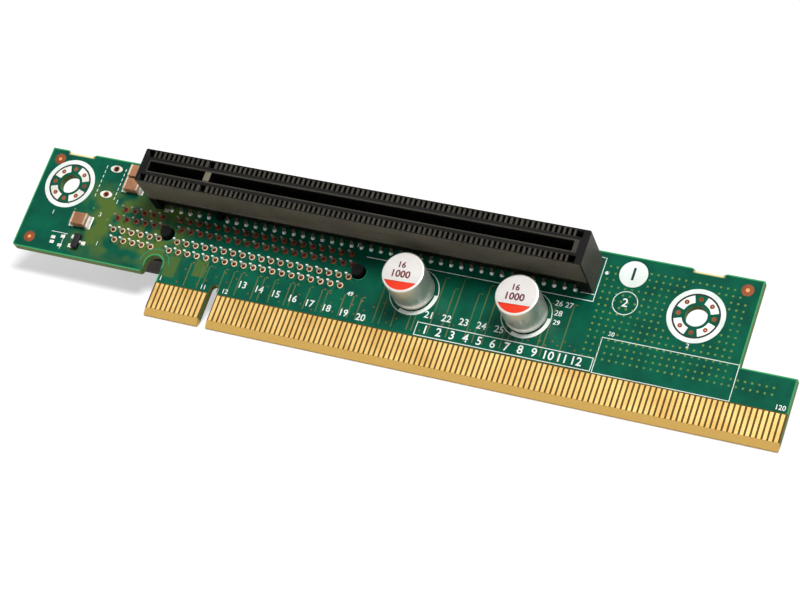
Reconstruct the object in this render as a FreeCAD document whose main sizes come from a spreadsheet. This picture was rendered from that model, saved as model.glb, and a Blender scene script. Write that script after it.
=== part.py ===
import FreeCAD, Part
import os
import Sketcher
from FreeCAD import Placement, Rotation, Vector

# PCI Express riser card, millimetres.
#
# Frame: the board lies flat in XY with its mid-plane at z = 0 and its component side up.
# X runs along the card edge, Y runs from the card edge to the top edge of the board, and
# the origin is the mating datum: the centre line of the key notch, on the card edge.
# The front socket stands on the component side, the back socket hangs from the other side.

# ---------------------------------------------------------------------------
# Driving dimensions: alias, value, meaning
# ---------------------------------------------------------------------------
SIZES = [
    # card edge: PCI Express contacts at 1 mm pitch about a key notch
    ("pitch", 1.0, "distance between contacts"),
    ("key_side", 1.5, "from the key centre to the first contact after it"),
    ("lead_count", 11, "contacts before the key, on the card and in each socket"),
    ("edge_count", 109, "card contacts after the key"),
    ("edge_margin", 0.65, "from the last contact centre to the side of the card"),
    ("finger_width", 0.62, "width of a card contact"),
    ("finger_top", 6.55, "height of the contacts' tops above the card edge"),
    ("finger_thickness", 0.05, "copper and gold that stand on the laminate"),
    ("bevel_height", 1.35, "height of the lead-in bevel of the card edge"),
    ("bevel_depth", 0.5, "how far the bevel cuts into each face"),
    ("key_width", 1.9, "width of the key notch"),
    ("key_top", 8.65, "top of the key notch"),
    # board outline
    ("board_thickness", 1.57, "laminate with its copper and solder mask"),
    ("board_top", 30.1, "top edge of the board"),
    ("ear_left", -44.7, "left side of the ear"),
    ("ear_bottom", 8.2, "lower side of the ear"),
    ("notch_width", 3.75, "width of the U notch between the ear and the card edge"),
    ("notch_top", 12.05, "top of the U notch"),
    ("step_side", 99.9, "right side of the board above the step"),
    ("step_top", 13.35, "height of the step at the right"),
    ("corner_radius", 0.6, "rounding of the ear's lower corners"),
    ("recess_mouth", 6.4, "length of a panel break-off recess at the top edge"),
    ("recess_floor", 4.6, "length of a break-off recess at its floor"),
    ("recess_depth", 0.5, "depth of a break-off recess"),
    # mounting holes
    ("mount_hole", 4.0, "diameter of the mounting holes"),
    ("left_hole_x", -38.05, "left mounting hole"),
    ("left_hole_y", 23.1, "left mounting hole"),
    ("right_hole_x", 89.9, "right mounting hole"),
    ("right_hole_y", 21.15, "right mounting hole"),
    # sockets
    ("front_first_x", -15.63, "first contact of the front socket"),
    ("front_y", 24.92, "centre line of the front socket"),
    ("front_count", 71, "front socket contacts after the key"),
    ("back_first_x", -25.0, "first contact of the back socket"),
    ("back_y", 16.71, "centre line of the back socket"),
    ("back_count", 38, "back socket contacts after the key"),
    ("socket_height", 11.25, "socket above the board"),
    ("socket_width", 6.9, "socket across its walls"),
    ("socket_start", 2.65, "from the first contact to the end of the housing"),
    ("socket_finish", 3.35, "from the last contact to the other end of the housing"),
    ("socket_corner", 0.3, "rounding of the housing's upright corners"),
    ("cavity_width", 1.8, "slot that takes a card"),
    ("mouth_width", 2.1, "slot at its lead-in"),
    ("mouth_depth", 0.6, "depth of the lead-in"),
    ("lip_depth", 2.65, "from the top of the housing to the contact chamber"),
    ("chamber_width", 4.6, "contact chamber, across both rows"),
    ("floor_top", 3.0, "top of the housing's floor above the board"),
    ("floor_bottom", 1.2, "open height under the housing between its feet"),
    ("skirt_width", 5.5, "housing across its narrow lower part"),
    ("skirt_top", 3.6, "top of the narrow lower part"),
    ("skirt_slope", 0.8, "height of the slope above the narrow lower part"),
    ("section_margin", 0.9, "from an end contact to the end of its chamber"),
    ("window_width", 0.55, "window in the housing's top beside a contact"),
    ("window_inner", 3.7, "between the inner sides of the two window rows"),
    ("window_outer", 6.4, "between the outer sides of the two window rows"),
    ("window_depth", 2.0, "depth of a window"),
    ("block_width", 1.4, "wide window beside the key and at both ends"),
    ("peg_hole", 2.8, "hole in the board for a locating peg"),
    ("peg_clearance", 0.3, "radial clearance of a peg in its hole"),
    ("peg_reach", 1.3, "how far a peg stands out of the far side of the board"),
    ("peg_after_last", 1.65, "from the last contact to the second peg"),
    # socket contacts
    ("contact_width", 0.45, "contact strip along the row"),
    ("contact_thickness", 0.25, "contact strip across the row"),
    ("contact_top_gap", 0.2, "from a contact's tip to the chamber's ceiling"),
    ("inner_row", 2.5, "between the two inner rows of tails"),
    ("outer_row", 6.5, "between the two outer rows of tails"),
    ("tail_knee", 0.35, "height above the board at which an outer tail turns down"),
    ("tail_reach", 1.75, "tail beyond the far side of the board"),
    ("tail_clearance", 0.1, "from a tail to the side of its hole in the board"),
    # radial capacitors
    ("can_diameter", 8.0, "capacitor can"),
    ("can_top", 8.0, "top of the can above the board"),
    ("can_bottom", 0.4, "rim of the can above the board"),
    ("can_rim", 0.6, "height of the crimped rim"),
    ("can_groove", 0.8, "height of the crimp groove"),
    ("can_groove_depth", 0.35, "depth of the crimp groove"),
    ("can_shoulder", 0.3, "rounding of the can's top"),
    ("can_wall", 0.35, "can wall round the bung"),
    ("bung_height", 1.5, "rubber bung in the can's mouth"),
    ("can_first_x", 38.3, "first capacitor"),
    ("can_spacing", 21.85, "between the two capacitors"),
    ("can_y", 15.2, "capacitors' height on the board"),
    ("lead_diameter", 0.6, "capacitor lead"),
    ("lead_pitch", 3.5, "between a capacitor's leads"),
    ("lead_hole", 0.8, "hole in the board for a lead"),
    ("lead_reach", 1.2, "lead beyond the far side of the board"),
    # chip capacitors
    ("chip_length", 3.2, "chip capacitor over its ends"),
    ("chip_width", 2.5, "chip capacitor across"),
    ("chip_height", 1.6, "chip capacitor above the board"),
    ("chip_end", 0.42, "length of an end cap"),
    ("chip_skin", 0.04, "how far an end cap stands proud of the ceramic"),
    ("chip_1_x", -24.4, "chip capacitor beside the front socket, upper"),
    ("chip_1_y", 27.75, "chip capacitor beside the front socket, upper"),
    ("chip_2_x", -24.3, "chip capacitor beside the front socket, lower"),
    ("chip_2_y", 24.85, "chip capacitor beside the front socket, lower"),
    ("chip_3_x", -32.3, "chip capacitor below the left mounting hole"),
    ("chip_3_y", 15.75, "chip capacitor below the left mounting hole"),
    # SOT-23
    ("sot_x", -31.3, "three-lead part"),
    ("sot_y", 11.35, "three-lead part"),
    ("sot_body_width", 1.3, "moulded body across the leads' direction"),
    ("sot_body_length", 2.9, "moulded body along its leaded sides"),
    ("sot_body_height", 0.95, "moulded body"),
    ("sot_standoff", 0.08, "gap under the moulded body"),
    ("sot_span", 2.4, "over the feet of the leads"),
    ("sot_lead_width", 0.42, "lead"),
    ("sot_lead_thickness", 0.13, "lead"),
    ("sot_lead_pitch", 1.9, "between the two leads of one side"),
    ("sot_lead_exit", 0.5, "height at which a lead leaves the body"),
    ("sot_foot", 0.3, "length of a lead's foot"),
    # empty place of a two-pin part beside the left mounting hole
    ("pin_hole", 0.9, "hole of the empty place"),
    ("pin_hole_x", -29.55, "both holes"),
    ("pin_hole_y", 22.35, "lower hole"),
    ("pin_hole_pitch", 5.65, "between the two holes"),
]

doc = FreeCAD.newDocument("RiserCard")
sheet = doc.addObject("Spreadsheet::Sheet", "Sizes")
for row, (alias, number, meaning) in enumerate(SIZES, start=1):
    sheet.set(f"A{row}", meaning)
    sheet.set(f"B{row}", str(number))
    sheet.setAlias(f"B{row}", alias)
doc.recompute()

HALF_BOARD = "(Sizes.board_thickness / 2)"
FIRST_FINGER_X = "(-Sizes.key_side + Sizes.pitch * (1 - Sizes.lead_count))"
CARD_LEFT = f"({FIRST_FINGER_X} - Sizes.edge_margin)"
CARD_RIGHT = "(Sizes.key_side + Sizes.pitch * (Sizes.edge_count - 1) + Sizes.edge_margin)"


def value(expression):
    """Number that an expression on the sheet gives."""
    return float(sheet.evalExpression(expression))


def add_values(*terms):
    """Expression for the sum of several expressions."""
    return "(" + " + ".join(f"({term})" for term in terms) + ")"


def negate(expression):
    """Expression for the opposite number."""
    return f"(-({expression}))"


# ---------------------------------------------------------------------------
# Sketch and feature helpers
# ---------------------------------------------------------------------------
def new_body(label, place=("0", "0", "0"), turn=None):
    """Body at x, y and z expressions; it may hold a group of separate equal solids."""
    body = doc.addObject("PartDesign::Body", label)
    body.Label = label
    body.AllowCompound = True
    if turn:
        body.Placement = Placement(Vector(), turn)
    for axis, expression in zip("xyz", place):
        body.setExpression(f".Placement.Base.{axis}", expression)
    doc.recompute()
    return body


def new_sketch(body, name, plane, height="0"):
    """Sketch on one of the body's own origin planes, moved along its normal by height."""
    sketch = body.newObject("Sketcher::SketchObject", name)
    support = [item for item in body.Origin.OriginFeatures if item.Role == plane][0]
    sketch.AttachmentSupport = (support, [""])
    sketch.MapMode = "FlatFace"
    sketch.setExpression(".AttachmentOffset.Base.z", height)
    return sketch


def fix_point(sketch, geometry, point, x, y):
    """Dimension a point of the sketch from the sketch's origin."""
    for kind, expression in (("DistanceX", x), ("DistanceY", y)):
        rule = Sketcher.Constraint(kind, -1, 1, geometry, point, value(expression))
        index = sketch.addConstraint(rule)
        sketch.setExpression(f"Constraints[{index}]", expression)


def draw_polygon(sketch, corners):
    """Closed outline of straight lines through corners given as expression pairs."""
    spots = [Vector(value(x), value(y), 0) for x, y in corners]
    lines = [sketch.addGeometry(Part.LineSegment(start, end), False)
             for start, end in zip(spots, spots[1:] + spots[:1])]
    for line, following in zip(lines, lines[1:] + lines[:1]):
        sketch.addConstraint(Sketcher.Constraint("Coincident", line, 2, following, 1))
    for line, (x, y) in zip(lines, corners):
        fix_point(sketch, line, 1, x, y)


def draw_box(sketch, left, right, low, high):
    """Rectangle between four expressions."""
    draw_polygon(sketch, [(left, low), (right, low), (right, high), (left, high)])


def draw_circle(sketch, x, y, diameter):
    """Circle from expressions for its centre and its diameter."""
    circle = Part.Circle(Vector(value(x), value(y), 0), Vector(0, 0, 1), value(diameter) / 2)
    geometry = sketch.addGeometry(circle, False)
    fix_point(sketch, geometry, 3, x, y)
    index = sketch.addConstraint(Sketcher.Constraint("Diameter", geometry, value(diameter)))
    sketch.setExpression(f"Constraints[{index}]", diameter)


def add_pad(body, sketch, length, reverse=False, midplane=False):
    """Pad of the sketch by a length expression."""
    pad = body.newObject("PartDesign::Pad", f"{sketch.Name}_pad")
    pad.Profile = sketch
    pad.Reversed = reverse
    pad.Midplane = midplane
    pad.setExpression("Length", length)
    doc.recompute()
    return pad


def add_pocket(body, sketch, length, reverse=False, midplane=False):
    """Pocket of the sketch by a length expression; it has to take material away."""
    before = body.Shape.Volume
    pocket = body.newObject("PartDesign::Pocket", f"{sketch.Name}_cut")
    pocket.Profile = sketch
    pocket.Reversed = reverse
    pocket.Midplane = midplane
    pocket.setExpression("Length", length)
    pocket.Refine = False
    doc.recompute()
    if body.Shape.Volume >= before:
        raise RuntimeError(f"{pocket.Name} cuts nothing")
    return pocket


def add_row(body, feature, step, number, along="X_Axis"):
    """Repeat a feature along an axis, number times in all, and make the pattern the tip."""
    pattern = body.newObject("PartDesign::LinearPattern", f"{feature.Name}_row")
    pattern.Originals = [feature]
    pattern.Refine = False
    axis = [item for item in body.Origin.OriginFeatures if item.Role == along][0]
    pattern.Direction = (axis, [""])
    pattern.setExpression("Length", f"({step}) * ({number} - 1)")
    pattern.setExpression("Occurrences", number)
    body.Tip = pattern
    doc.recompute()
    return pattern


def fillet_uprights(body, name, radius, wanted):
    """Round the straight upright edges that the wanted test accepts."""
    names = []
    for index, edge in enumerate(body.Shape.Edges, start=1):
        ends = [vertex.Point for vertex in edge.Vertexes]
        upright = len(ends) == 2 and (ends[0] - ends[1]).cross(Vector(0, 0, 1)).Length < 1e-6
        if upright and wanted(body.Placement.inverse().multVec(ends[0])):
            names.append(f"Edge{index}")
    rounded = body.Tip
    fillet = body.newObject("PartDesign::Fillet", name)
    fillet.Base = (rounded, names)
    fillet.setExpression("Radius", radius)
    doc.recompute()


# ---------------------------------------------------------------------------
# Places along a socket, from its first contact
# ---------------------------------------------------------------------------
def socket_last(first_x, after_key):
    """X of a socket's last contact."""
    return add_values(first_x, "Sizes.pitch * (Sizes.lead_count - 1) + 2 * Sizes.key_side",
                      f"Sizes.pitch * (Sizes.{after_key} - 1)")


def socket_key(first_x):
    """X of a socket's key, which is also the X of its first peg."""
    return add_values(first_x, "Sizes.pitch * (Sizes.lead_count - 1) + Sizes.key_side")


def peg_spots(first_x, after_key):
    """X of both pegs of a socket."""
    return [socket_key(first_x), add_values(socket_last(first_x, after_key), "Sizes.peg_after_last")]


def tail_runs(kind, first_x, after_key):
    """First X and number of the tails before and after the key, in an inner or an outer row.

    Inner tails stand at even places and outer ones at odd places. The key takes three
    pitches, so the first place after it is an outer one.
    """
    restart = add_values(socket_key(first_x), "Sizes.key_side")
    if kind == "inner":
        return [("lead", first_x, "ceil(Sizes.lead_count / 2)"),
                ("rest", add_values(restart, "Sizes.pitch"), f"floor(Sizes.{after_key} / 2)")]
    return [("lead", add_values(first_x, "Sizes.pitch"), "floor(Sizes.lead_count / 2)"),
            ("rest", restart, f"ceil(Sizes.{after_key} / 2)")]


# ---------------------------------------------------------------------------
# Board
# ---------------------------------------------------------------------------
def can_spots():
    """X of both capacitors."""
    return ["Sizes.can_first_x", "(Sizes.can_first_x + Sizes.can_spacing)"]


def draw_board_outline(sketch):
    """Ear, U notch, card edge and step, without the round ends of the notches."""
    notch_left = f"({CARD_LEFT} - Sizes.notch_width)"
    notch_shoulder = "(Sizes.notch_top - Sizes.notch_width / 2)"
    draw_polygon(sketch, [
        ("Sizes.ear_left", "Sizes.ear_bottom"),
        (notch_left, "Sizes.ear_bottom"),
        (notch_left, notch_shoulder),
        (CARD_LEFT, notch_shoulder),
        (CARD_LEFT, "0"),
        (CARD_RIGHT, "0"),
        (CARD_RIGHT, "Sizes.step_top"),
        ("Sizes.step_side", "Sizes.step_top"),
        ("Sizes.step_side", "Sizes.board_top"),
        ("Sizes.ear_left", "Sizes.board_top"),
    ])


def draw_break_off(sketch, middle):
    """Sloped recess that a snapped panel tab leaves in the top edge."""
    past = "(Sizes.board_top + Sizes.recess_depth)"
    mouth = "Sizes.recess_mouth / 2"
    floor = "Sizes.recess_floor / 2"
    low = "(Sizes.board_top - Sizes.recess_depth)"
    draw_polygon(sketch, [
        (f"{middle} - {mouth}", past),
        (f"{middle} - {mouth}", "Sizes.board_top"),
        (f"{middle} - {floor}", low),
        (f"{middle} + {floor}", low),
        (f"{middle} + {mouth}", "Sizes.board_top"),
        (f"{middle} + {mouth}", past),
    ])


def draw_bevel(sketch, side):
    """Wedge off one face of the card edge; side is 1 for the component side, -1 for the other."""
    face = f"({side} * {HALF_BOARD})"
    outside = f"({side} * Sizes.board_thickness)"
    below = "(-Sizes.bevel_height)"
    deep = f"({side} * ({HALF_BOARD} - 2 * Sizes.bevel_depth))"
    draw_polygon(sketch, [
        ("Sizes.bevel_height", face),
        ("Sizes.bevel_height", outside),
        (below, outside),
        (below, deep),
    ])


def make_board():
    """The laminate, padded about its mid-plane and cut to shape."""
    body = new_body("pcb")
    outline = new_sketch(body, "board_outline", "XY_Plane")
    draw_board_outline(outline)
    add_pad(body, outline, "Sizes.board_thickness", midplane=True)
    ear_bottom = value("Sizes.ear_bottom")
    fillet_uprights(body, "ear_corners", "Sizes.corner_radius",
                    lambda spot: abs(spot.y - ear_bottom) < 1e-6)

    cuts = new_sketch(body, "board_notches", "XY_Plane")
    draw_circle(cuts, f"{CARD_LEFT} - Sizes.notch_width / 2",
                "Sizes.notch_top - Sizes.notch_width / 2", "Sizes.notch_width")
    add_pocket(body, cuts, "2 * Sizes.board_thickness", midplane=True)

    key = new_sketch(body, "board_key", "XY_Plane")
    shoulder = "(Sizes.key_top - Sizes.key_width / 2)"
    draw_box(key, "-Sizes.key_width / 2", "Sizes.key_width / 2", "-Sizes.key_width", shoulder)
    add_pocket(body, key, "2 * Sizes.board_thickness", midplane=True)
    key_end = new_sketch(body, "board_key_end", "XY_Plane")
    draw_circle(key_end, "0", shoulder, "Sizes.key_width")
    add_pocket(body, key_end, "2 * Sizes.board_thickness", midplane=True)

    tabs = new_sketch(body, "board_break_offs", "XY_Plane")
    draw_break_off(tabs, "Sizes.left_hole_x")
    draw_break_off(tabs, "Sizes.right_hole_x")
    add_pocket(body, tabs, "2 * Sizes.board_thickness", midplane=True)

    bevel = new_sketch(body, "board_bevel", "YZ_Plane", CARD_LEFT)
    draw_bevel(bevel, 1)
    draw_bevel(bevel, -1)
    add_pocket(body, bevel, f"{CARD_RIGHT} - {CARD_LEFT}", reverse=True)

    holes = new_sketch(body, "board_holes", "XY_Plane")
    draw_circle(holes, "Sizes.left_hole_x", "Sizes.left_hole_y", "Sizes.mount_hole")
    draw_circle(holes, "Sizes.right_hole_x", "Sizes.right_hole_y", "Sizes.mount_hole")
    for peg_x in peg_spots("Sizes.front_first_x", "front_count"):
        draw_circle(holes, peg_x, "Sizes.front_y", "Sizes.peg_hole")
    for peg_x in peg_spots("Sizes.back_first_x", "back_count"):
        draw_circle(holes, peg_x, "Sizes.back_y", "Sizes.peg_hole")
    for can_x in can_spots():
        for side in ("-", "+"):
            draw_circle(holes, can_x, f"Sizes.can_y {side} Sizes.lead_pitch / 2", "Sizes.lead_hole")
    draw_circle(holes, "Sizes.pin_hole_x", "Sizes.pin_hole_y", "Sizes.pin_hole")
    draw_circle(holes, "Sizes.pin_hole_x", "Sizes.pin_hole_y + Sizes.pin_hole_pitch", "Sizes.pin_hole")
    add_pocket(body, holes, "2 * Sizes.board_thickness", midplane=True)
    cut_tail_holes(body)
    return body


def cut_tail_holes(body):
    """Holes for the tails of the back socket, in its two inner and two outer rows."""
    half_x = "(Sizes.contact_width / 2 + Sizes.tail_clearance)"
    half_y = "(Sizes.contact_thickness / 2 + Sizes.tail_clearance)"
    for kind in ("inner", "outer"):
        for name, start, number in tail_runs(kind, "Sizes.back_first_x", "back_count"):
            sketch = new_sketch(body, f"{kind}_{name}_tail_holes", "XY_Plane")
            for side in ("-", "+"):
                row = f"(Sizes.back_y {side} Sizes.{kind}_row / 2)"
                draw_box(sketch, f"{start} - {half_x}", f"{start} + {half_x}",
                         f"{row} - {half_y}", f"{row} + {half_y}")
            cut = add_pocket(body, sketch, "2 * Sizes.board_thickness", midplane=True)
            add_row(body, cut, "2 * Sizes.pitch", number)


def make_fingers():
    """Card contacts: equal gold-plated strips on both faces of the card edge."""
    left = "-Sizes.finger_width / 2"
    right = "Sizes.finger_width / 2"
    runs = (("lead", FIRST_FINGER_X, "Sizes.lead_count"), ("rest", "Sizes.key_side", "Sizes.edge_count"))
    nodes = []
    for label, reverse, level in (("edge_fingers_front", False, HALF_BOARD),
                                  ("edge_fingers_back", True, negate(HALF_BOARD))):
        body = new_body(label, ("0", "0", level))
        for name, start, number in runs:
            sketch = new_sketch(body, f"{label}_{name}", "XY_Plane")
            draw_box(sketch, f"{start} {left}", f"{start} + {right}",
                     "Sizes.bevel_height", "Sizes.finger_top")
            strip = add_pad(body, sketch, "Sizes.finger_thickness", reverse=reverse)
            add_row(body, strip, "Sizes.pitch", number)
        nodes.append(body)
    return nodes


# ---------------------------------------------------------------------------
# Sockets, each in its own frame: x from its first contact, y from its centre line,
# z from the face of the board that it stands on
# ---------------------------------------------------------------------------
CEILING = "(Sizes.socket_height - Sizes.lip_depth)"
STRIP_INSIDE = "(Sizes.inner_row / 2 - Sizes.contact_thickness / 2)"
STRIP_OUTSIDE = "(Sizes.inner_row / 2 + Sizes.contact_thickness / 2)"


def mirrored(half):
    """Outline from its right half, given from top to bottom as (y, z) expressions."""
    return half + [(negate(y), z) for y, z in reversed(half)]


def draw_socket_void(sketch):
    """Card slot, contact chamber, tail slots and the open space under the housing."""
    above = "(Sizes.socket_height + Sizes.mouth_depth)"
    outside = "Sizes.socket_width"
    half = [
        ("Sizes.mouth_width / 2", above),
        ("Sizes.mouth_width / 2", "Sizes.socket_height"),
        ("Sizes.cavity_width / 2", "Sizes.socket_height - Sizes.mouth_depth"),
        ("Sizes.cavity_width / 2", CEILING),
        ("Sizes.chamber_width / 2", CEILING),
        ("Sizes.chamber_width / 2", "Sizes.floor_top"),
        (STRIP_OUTSIDE, "Sizes.floor_top"),
        (STRIP_OUTSIDE, "Sizes.floor_bottom"),
        ("Sizes.skirt_width / 2", "Sizes.floor_bottom"),
        ("Sizes.skirt_width / 2", "Sizes.skirt_top"),
        ("Sizes.socket_width / 2", "Sizes.skirt_top + Sizes.skirt_slope"),
        (outside, "Sizes.skirt_top + Sizes.skirt_slope"),
        (outside, "-Sizes.floor_bottom"),
    ]
    draw_polygon(sketch, mirrored(half))
    draw_box(sketch, negate(STRIP_INSIDE), STRIP_INSIDE, "Sizes.floor_bottom", "Sizes.floor_top")


def make_socket_housing(label, after_key, place, turn):
    """Moulded housing: a block, its hollow sections, its end windows and its pegs."""
    last = socket_last("0", after_key)
    key = socket_key("0")
    body = new_body(label, place, turn)
    block = new_sketch(body, f"{label}_block", "XY_Plane")
    draw_box(block, "-Sizes.socket_start", f"{last} + Sizes.socket_finish",
             "-Sizes.socket_width / 2", "Sizes.socket_width / 2")
    add_pad(body, block, "Sizes.socket_height")
    fillet_uprights(body, f"{label}_corners", "Sizes.socket_corner", lambda spot: True)

    lead_end = "(Sizes.pitch * (Sizes.lead_count - 1) + Sizes.section_margin)"
    rest_start = f"({key} + Sizes.key_side - Sizes.section_margin)"
    sections = (("lead", "-Sizes.section_margin", lead_end),
                ("rest", rest_start, f"({last} + Sizes.section_margin)"))
    for name, start, end in sections:
        void = new_sketch(body, f"{label}_{name}_void", "YZ_Plane", start)
        draw_socket_void(void)
        add_pocket(body, void, f"{end} - ({start})", reverse=True)

    blocks = new_sketch(body, f"{label}_wide_windows", "XY_Plane", "Sizes.socket_height")
    end_step = "(Sizes.pitch / 2 + Sizes.block_width / 2 + Sizes.window_width / 4)"
    for middle in (negate(end_step), key, f"({last} + {end_step})"):
        draw_windows(blocks, middle, "Sizes.block_width")
    add_pocket(body, blocks, "Sizes.window_depth")

    pegs = new_sketch(body, f"{label}_pegs", "XY_Plane")
    for peg_x in peg_spots("0", after_key):
        draw_circle(pegs, peg_x, "0", "Sizes.peg_hole - 2 * Sizes.peg_clearance")
    add_pad(body, pegs, "Sizes.board_thickness + Sizes.peg_reach", reverse=True)
    return body


def draw_windows(sketch, middle, width):
    """One window in each of the two rows, centred at x = middle."""
    left = f"({middle} - {width} / 2)"
    right = f"({middle} + {width} / 2)"
    draw_box(sketch, left, right, "Sizes.window_inner / 2", "Sizes.window_outer / 2")
    draw_box(sketch, left, right, "-Sizes.window_outer / 2", "-Sizes.window_inner / 2")


def contact_outline(kind, side, end):
    """Side view of a contact. An inner one is straight; an outer one steps out to its hole."""
    tip = f"{CEILING} - Sizes.contact_top_gap"
    if kind == "inner":
        outline = [
            (STRIP_INSIDE, end),
            (STRIP_OUTSIDE, end),
            (STRIP_OUTSIDE, tip),
            (STRIP_INSIDE, tip),
        ]
    else:
        tail_inside = "(Sizes.outer_row / 2 - Sizes.contact_thickness / 2)"
        tail_outside = "(Sizes.outer_row / 2 + Sizes.contact_thickness / 2)"
        outline = [
            (STRIP_INSIDE, tip),
            (STRIP_INSIDE, "Sizes.floor_bottom - Sizes.contact_thickness"),
            (tail_inside, "Sizes.tail_knee"),
            (tail_inside, end),
            (tail_outside, end),
            (tail_outside, "Sizes.tail_knee + Sizes.contact_thickness"),
            (STRIP_OUTSIDE, "Sizes.floor_bottom"),
            (STRIP_OUTSIDE, tip),
        ]
    return [(f"{side} * ({y})", z) for y, z in outline]


def make_contact_row(label, kind, side, after_key, place, turn):
    """All contacts of one row of tails.

    The back socket's tails go through the board. The front socket's are shown as far as
    the board's face.
    """
    end = "0" if after_key == "front_count" else "-Sizes.board_thickness - Sizes.tail_reach"
    body = new_body(label, place, turn)
    for name, start, number in tail_runs(kind, "0", after_key):
        sketch = new_sketch(body, f"{label}_{name}", "YZ_Plane", start)
        draw_polygon(sketch, contact_outline(kind, side, end))
        contact = add_pad(body, sketch, "Sizes.contact_width", midplane=True)
        add_row(body, contact, "2 * Sizes.pitch", number)
    return body


def make_sockets():
    """Front socket on the component side; back socket turned over about X on the other side."""
    flip = Rotation(Vector(1, 0, 0), 180)
    nodes = []
    for prefix, level, turn in (("front", HALF_BOARD, None), ("back", negate(HALF_BOARD), flip)):
        after_key = f"{prefix}_count"
        place = (f"Sizes.{prefix}_first_x", f"Sizes.{prefix}_y", level)
        nodes.append(make_socket_housing(f"{prefix}_socket_housing", after_key, place, turn))
        for kind in ("inner", "outer"):
            for row, side in (("a", 1), ("b", -1)):
                label = f"{prefix}_contacts_{kind}_{row}"
                nodes.append(make_contact_row(label, kind, side, after_key, place, turn))
    return nodes


# ---------------------------------------------------------------------------
# Radial capacitors
# ---------------------------------------------------------------------------
def revolve(body, name, outline):
    """Turned shape about the body's Z axis, from (radius, height) corners."""
    sketch = new_sketch(body, name, "XZ_Plane")
    draw_polygon(sketch, outline)
    turned = body.newObject("PartDesign::Revolution", f"{name}_turned")
    turned.Profile = sketch
    turned.ReferenceAxis = (sketch, ["V_Axis"])
    turned.Angle = 360
    doc.recompute()


def make_can(label, placement):
    """Drawn can with a crimped rim, closed on its winding; its mouth holds the bung."""
    radius = "Sizes.can_diameter / 2"
    mouth = f"({radius} - Sizes.can_wall)"
    groove = f"({radius} - Sizes.can_groove_depth)"
    rim_top = "(Sizes.can_bottom + Sizes.can_rim)"
    middle = f"({rim_top} + Sizes.can_groove / 2)"
    body = new_body(label, placement)
    revolve(body, f"{label}_profile", [
        ("0", "Sizes.can_bottom + Sizes.bung_height"),
        (mouth + " - Sizes.can_wall", "Sizes.can_bottom + Sizes.bung_height"),
        (mouth + " - Sizes.can_wall", "Sizes.can_bottom"),
        (radius, "Sizes.can_bottom"),
        (radius, rim_top),
        (groove, middle),
        (radius, f"{rim_top} + Sizes.can_groove"),
        (radius, "Sizes.can_top - Sizes.can_shoulder"),
        (f"{radius} - Sizes.can_shoulder", "Sizes.can_top"),
        ("0", "Sizes.can_top"),
    ])
    return body


def make_bung(label, placement):
    """Rubber bung that fills the can's mouth and stands on the board."""
    body = new_body(label, placement)
    disc = new_sketch(body, f"{label}_disc", "XY_Plane")
    draw_circle(disc, "0", "0", "Sizes.can_diameter - 4 * Sizes.can_wall")
    add_pad(body, disc, "Sizes.can_bottom + Sizes.bung_height")
    return body


def make_leads(label, placement):
    """Two wire leads from the bung, through the board, to just beyond its far side."""
    body = new_body(label, placement)
    wires = new_sketch(body, f"{label}_wires", "XY_Plane")
    for side in ("-", ""):
        draw_circle(wires, "0", f"{side}Sizes.lead_pitch / 2", "Sizes.lead_diameter")
    add_pad(body, wires, "Sizes.board_thickness + Sizes.lead_reach", reverse=True)
    return body


def make_capacitors():
    """Both radial capacitors."""
    nodes = []
    for number, x in enumerate(can_spots(), start=1):
        placement = (x, "Sizes.can_y", HALF_BOARD)
        nodes.append(make_can(f"capacitor_{number}_can", placement))
        nodes.append(make_bung(f"capacitor_{number}_bung", placement))
        nodes.append(make_leads(f"capacitor_{number}_leads", placement))
    return nodes


# ---------------------------------------------------------------------------
# Surface-mounted parts
# ---------------------------------------------------------------------------
def make_chip(number):
    """Chip capacitor: a ceramic body between two metal end caps."""
    place = (f"Sizes.chip_{number}_x", f"Sizes.chip_{number}_y", HALF_BOARD)
    end = "(Sizes.chip_length / 2)"
    shoulder = "(Sizes.chip_length / 2 - Sizes.chip_end)"
    half_ceramic = "(Sizes.chip_width / 2 - Sizes.chip_skin)"
    ceramic = new_body(f"chip_{number}_ceramic", place)
    block = new_sketch(ceramic, f"chip_{number}_block", "XY_Plane", "Sizes.chip_skin")
    draw_box(block, negate(shoulder), shoulder, negate(half_ceramic), half_ceramic)
    add_pad(ceramic, block, "Sizes.chip_height - 2 * Sizes.chip_skin")

    caps = new_body(f"chip_{number}_end_caps", place)
    ends = new_sketch(caps, f"chip_{number}_ends", "XY_Plane")
    draw_box(ends, negate(end), negate(shoulder), "-Sizes.chip_width / 2", "Sizes.chip_width / 2")
    draw_box(ends, shoulder, end, "-Sizes.chip_width / 2", "Sizes.chip_width / 2")
    add_pad(caps, ends, "Sizes.chip_height")
    return [ceramic, caps]


def lead_outline(side):
    """Gull-wing lead in side view, leaving the body towards +X or -X."""
    face = "Sizes.sot_body_width / 2"
    toe = "Sizes.sot_span / 2"
    heel = "(Sizes.sot_span / 2 - Sizes.sot_foot)"
    top = "(Sizes.sot_lead_exit + Sizes.sot_lead_thickness)"
    outline = [
        (face, "Sizes.sot_lead_exit"),
        (f"{heel} - Sizes.sot_lead_thickness", "Sizes.sot_lead_exit"),
        (f"{heel} - Sizes.sot_lead_thickness / 2", "0"),
        (toe, "0"),
        (toe, "Sizes.sot_lead_thickness"),
        (f"{heel} + Sizes.sot_lead_thickness / 2", "Sizes.sot_lead_thickness"),
        (heel, top),
        (face, top),
    ]
    return [(f"{side} * ({x})", z) for x, z in outline]


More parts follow.
